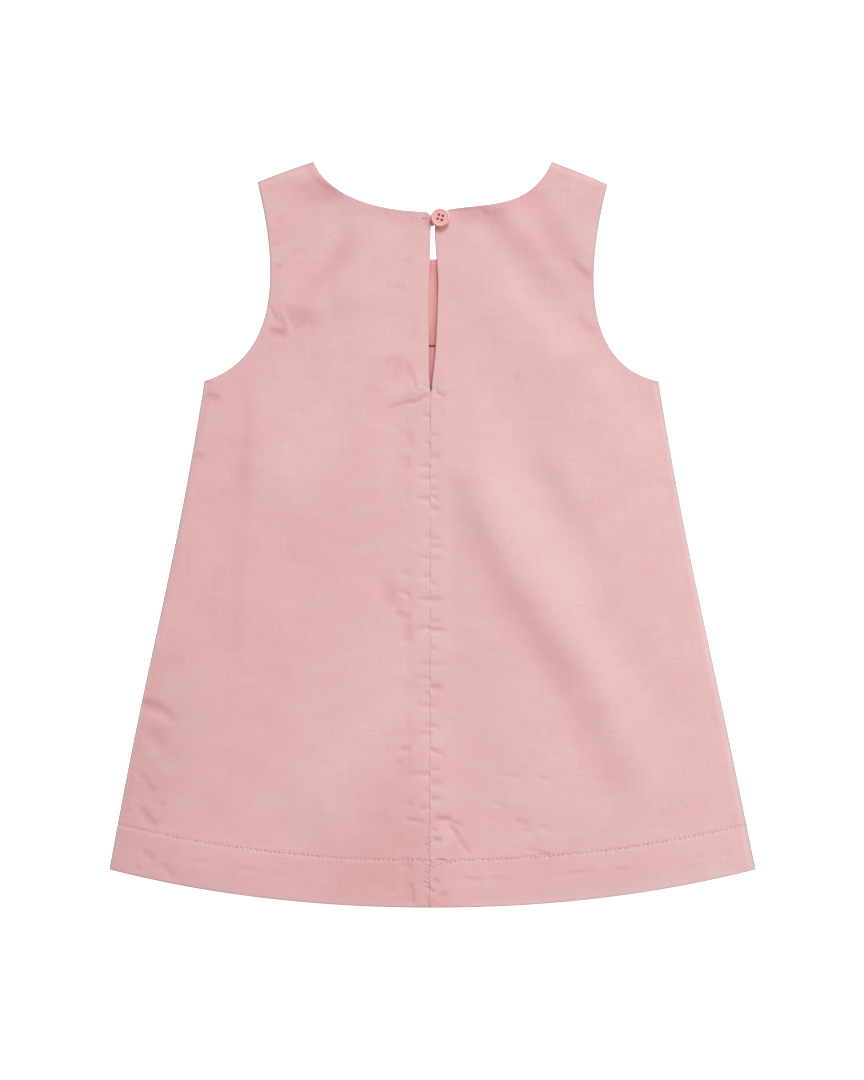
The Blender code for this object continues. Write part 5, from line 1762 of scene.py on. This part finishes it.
class DRESS_OT_button(bpy.types.Operator):
    """Turn the four-hole resin button"""

    bl_idname = "dress.button"
    bl_label = "Button"

    def execute(self, context):
        colours = context.scene.dress_colours
        finish = satin_resin("pink_resin", colours.resin, colours.resin_shade)
        knots = np.arange(len(BUTTON_SECTION)) * 1.0
        at = np.linspace(0.0, knots[-1], BUTTON_STEPS * len(BUTTON_SECTION))
        radius = np.maximum(through(knots, column(BUTTON_SECTION, "radius"), at), 0.0)
        height = through(knots, column(BUTTON_SECTION, "height"), at) + BUTTON_LOW[2]
        body, faces = turned(list(zip(radius, height)), BUTTON_SIDES, BUTTON_MIDDLE)
        piece = add_mesh("resin_button", body, faces, finish)
        drill = button_drill()
        cut = piece.modifiers.new("thread_holes", "BOOLEAN")
        cut.operation = "DIFFERENCE"
        cut.solver = "EXACT"
        cut.object = drill
        evaluated = piece.evaluated_get(context.evaluated_depsgraph_get())
        drilled = bpy.data.meshes.new_from_object(evaluated)
        piece.modifiers.remove(cut)
        spent = (piece.data, drill.data)
        piece.data = drilled
        bpy.data.objects.remove(drill)
        for mesh in spent:
            bpy.data.meshes.remove(mesh)
        drilled.name = "resin_button"
        drilled.shade_smooth()
        drilled.set_sharp_from_angle(angle=BUTTON_SHARP)
        if len(drilled.polygons) < len(faces) // 2:
            raise RuntimeError("the button's holes could not be drilled")
        seat(piece, ["button"])
        return {"FINISHED"}


class DRESS_OT_button_thread(bpy.types.Operator):
    """Wind the button's shank and thread its four holes"""

    bl_idname = "dress.button_thread"
    bl_label = "Button Thread"

    def execute(self, context):
        colours = context.scene.dress_colours
        finish = twisted_thread("red_thread", colours.button_thread, colours.button_thread_shade)
        low, high = SHANK_LOW[2] - GAP, SHANK_HIGH[2] + GAP
        radius = (SHANK_HIGH[0] - SHANK_LOW[0]) / 2.0
        share = np.linspace(0.0, 1.0, SHANK_STATIONS)
        wound = radius * (SHANK_WAIST + SHANK_FLARE * (2.0 * share - 1.0) ** 2
                          + SHANK_GROOVE * np.sin(share * 2.0 * np.pi * SHANK_TURNS))
        section = [(0.0, low), *zip(wound, low + share * (high - low)), (0.0, high)]
        bodies = [turned(section, SHANK_SIDES, BUTTON_MIDDLE)]
        t = np.linspace(0.0, 1.0, HOLE_THREAD_STATIONS)
        arch = np.sin(np.pi * t) ** HOLE_THREAD_SQUARENESS
        height = high + (dish_height() - HOLE_THREAD_DIP - high) * arch
        thick = np.full((len(t), HOLE_THREAD_SIDES), HOLE_THREAD_RADIUS)
        inside = 1.0 - 2.0 * HOLE_THREAD_INSET
        share = HOLE_THREAD_INSET + inside * smooth_step(t[:, None])
        holes = hole_spots()
        for first, second in ((1, 2), (0, 3)):
            way = holes[second] - holes[first]
            left = np.array((-way[1], way[0])) / np.hypot(*way) * HOLE_THREAD_GAP
            for side in (-0.5, 0.5):
                flat = holes[first] + side * left + way * share
                path = np.concatenate((flat, height[:, None]), axis=1)
                bodies.append(tube(path, thick, 0.0 * t, HOLE_THREAD_SIDES))
        vertices, faces = joined(bodies)
        turn = np.arctan2(vertices[:, 1] - BUTTON_MIDDLE[1], vertices[:, 0] - BUTTON_MIDDLE[0])
        uv = spots(turn / (2.0 * np.pi), vertices[:, 2] / SHANK_PATTERN)
        piece = add_mesh("button_shank_thread", vertices, faces, finish, uv)
        seat(piece, ["button_thread"])
        return {"FINISHED"}


class DRESS_OT_loop(bpy.types.Operator):
    """Twist the cord loop that goes round the button's shank"""

    bl_idname = "dress.loop"
    bl_label = "Cord Loop"

    def execute(self, context):
        finish = thread_finish(context.scene.dress_colours)
        cord = (LOOP_HIGH[1] - LOOP_LOW[1] - np.ptp(column(LOOP, "up"))) / 2.0
        start, lying = LOOP_LOW[2] + cord, LOOP_HIGH[2] - cord
        knots = np.arange(len(LOOP)) * 1.0
        at = np.linspace(0.0, knots[-1], LOOP_STATIONS)
        climb = np.clip(through(knots, column(LOOP, "climb") / MM, at), 0.0, 1.0)
        path = in_world(through(knots, column(LOOP, "across"), at),
                        through(knots, column(LOOP, "up"), at),
                        start + climb * (lying - start))
        way = np.concatenate(((0.0,), np.cumsum(np.linalg.norm(np.diff(path, axis=0), axis=1))))
        angle = around(LOOP_SIDES)
        lobes = LOOP_WAIST + LOOP_RIB * np.abs(np.cos(LOOP_PLIES / 2.0 * angle))
        radius = cord * np.tile(lobes, (len(path), 1))
        radius[[0, -1]] *= LOOP_END_SHARE
        vertices, faces = tube(path, radius, way / LOOP_TWIST * 2.0 * np.pi, LOOP_SIDES)
        uv = spots(*np.broadcast_arrays(angle / (2.0 * np.pi), (way / THREAD_PATTERN)[:, None]))
        uv = uv.reshape(-1, 2)
        uv = np.concatenate((uv, uv[:1], uv[-1:]))
        piece = add_mesh("loop_cord", vertices, faces, finish, uv)
        seat(piece, ["button_loop"])
        return {"FINISHED"}


def add_lamp(name, kind, energy, colour, place, **settings):
    """A lamp at a place, that shines towards the dress."""
    lamp = bpy.data.lights.new(name, kind)
    lamp.energy = energy
    lamp.color = colour
    for setting, value in settings.items():
        setattr(lamp, setting, value)
    light = bpy.data.objects.new(name, lamp)
    light.rotation_euler = place.to_track_quat("Z", "Y").to_euler()
    light.location = place
    bpy.context.scene.collection.objects.link(light)


def far_light(name, share, height, turn, spread, colour):
    """A distant lamp that gives `share` to a level white surface: its strength is
    share pi / sin(h) at an angle h above the floor."""
    towards = Vector((math.sin(turn) * math.cos(height), math.cos(turn) * math.cos(height),
                      math.sin(height)))
    energy = share * math.pi / math.sin(height)
    add_lamp(name, "SUN", energy, colour, towards * 2.0, angle=spread)


def soft_box(name, share, place, side, colour):
    """A square lamp that faces the dress and gives `share` to a level white surface there: its
    power is share pi^2 r^2 / sin(h) at a distance r and an angle h above the floor."""
    energy = share * math.pi ** 2 * place.length ** 3 / place.z
    add_lamp(name, "AREA", energy, colour, place, size=side)


class DRESS_OT_stage(bpy.types.Operator):
    """Set out the pale floor, the soft light and the camera above"""

    bl_idname = "dress.stage"
    bl_label = "Floor, Light and Camera"

    def execute(self, context):
        scene, stage = context.scene, context.scene.dress_stage
        corners = np.array(((-1, -1), (1, -1), (1, 1), (-1, 1))) * FLOOR_HALF
        floor = add_mesh("floor", np.insert(corners, 2, -FLOOR_DROP, axis=1), [[0, 1, 2, 3]],
                         pale_floor("pale_floor", stage.floor, stage.floor_glow))

        world = bpy.data.worlds.new("soft_sky")
        world.use_nodes = True
        tree = world.node_tree
        sky = tree.nodes["Background"]
        sky.inputs["Color"].default_value = SKY_COLOUR
        sky.inputs["Strength"].default_value = stage.sky_share
        seen = tree.nodes.new("ShaderNodeBackground")
        seen.inputs["Color"].default_value = WHITE
        switch = tree.nodes.new("ShaderNodeMixShader")
        path = tree.nodes.new("ShaderNodeLightPath")
        tree.links.new(path.outputs["Is Camera Ray"], switch.inputs[0])
        tree.links.new(sky.outputs[0], switch.inputs[1])
        tree.links.new(seen.outputs[0], switch.inputs[2])
        tree.links.new(switch.outputs[0], tree.nodes["World Output"].inputs[0])
        scene.world = world

        far_light("key_light", stage.key_share, stage.key_height, stage.key_turn,
                  stage.key_spread, KEY_COLOUR)
        soft_box("fill_light", stage.fill_share, Vector(stage.fill_place), stage.fill_size,
                 FILL_COLOUR)

        lens = bpy.data.cameras.new("camera")
        lens.lens = stage.lens
        lens.sensor_fit = "VERTICAL"
        lens.sensor_width = lens.sensor_height = SENSOR
        lens.clip_start, lens.clip_end = CAMERA_CLIP
        camera = bpy.data.objects.new("camera", lens)
        camera.location = (*CAMERA_AIM, stage.camera_height + CLOTH_HEIGHT)
        scene.collection.objects.link(camera)
        scene.camera = camera
        scene.view_settings.view_transform = "Standard"
        scene.view_settings.look = "None"
        return {"FINISHED"}


# ------------------------------------------------------------------- the panel

PIECES = (
    DRESS_OT_stage,
    DRESS_OT_front,
    DRESS_OT_facing,
    DRESS_OT_back,
    DRESS_OT_hem_stitches,
    DRESS_OT_seam_stitches,
    DRESS_OT_button,
    DRESS_OT_button_thread,
    DRESS_OT_loop,
)
SETTINGS = {"dress_sizes": DressSizes, "dress_colours": DressColours, "dress_stage": DressStage}


class DRESS_PT_panel(bpy.types.Panel):
    """The dress's sizes and colours, and a button for each piece"""

    bl_label = "Dress"
    bl_idname = "DRESS_PT_panel"
    bl_space_type = "VIEW_3D"
    bl_region_type = "UI"
    bl_category = "Dress"

    def draw(self, context):
        for name, group in SETTINGS.items():
            box = self.layout.box()
            box.label(text=name.replace("_", " ").capitalize())
            for setting in group.__annotations__:
                box.prop(getattr(context.scene, name), setting)
        for piece in PIECES:
            self.layout.operator(piece.bl_idname)


def register():
    """Make the settings, the operators and the panel known to Blender."""
    for kind in (*SETTINGS.values(), *PIECES, DRESS_PT_panel):
        bpy.utils.register_class(kind)
    for name, group in SETTINGS.items():
        setattr(bpy.types.Scene, name, bpy.props.PointerProperty(type=group))


def unregister():
    """Take them away again."""
    for name in SETTINGS:
        delattr(bpy.types.Scene, name)
    for kind in reversed((*SETTINGS.values(), *PIECES, DRESS_PT_panel)):
        bpy.utils.unregister_class(kind)


def main():
    """Make every piece and the stage."""
    register()
    for piece in PIECES:
        group, action = piece.bl_idname.split(".")
        getattr(getattr(bpy.ops, group), action)()


if __name__ == "__main__":
    main()
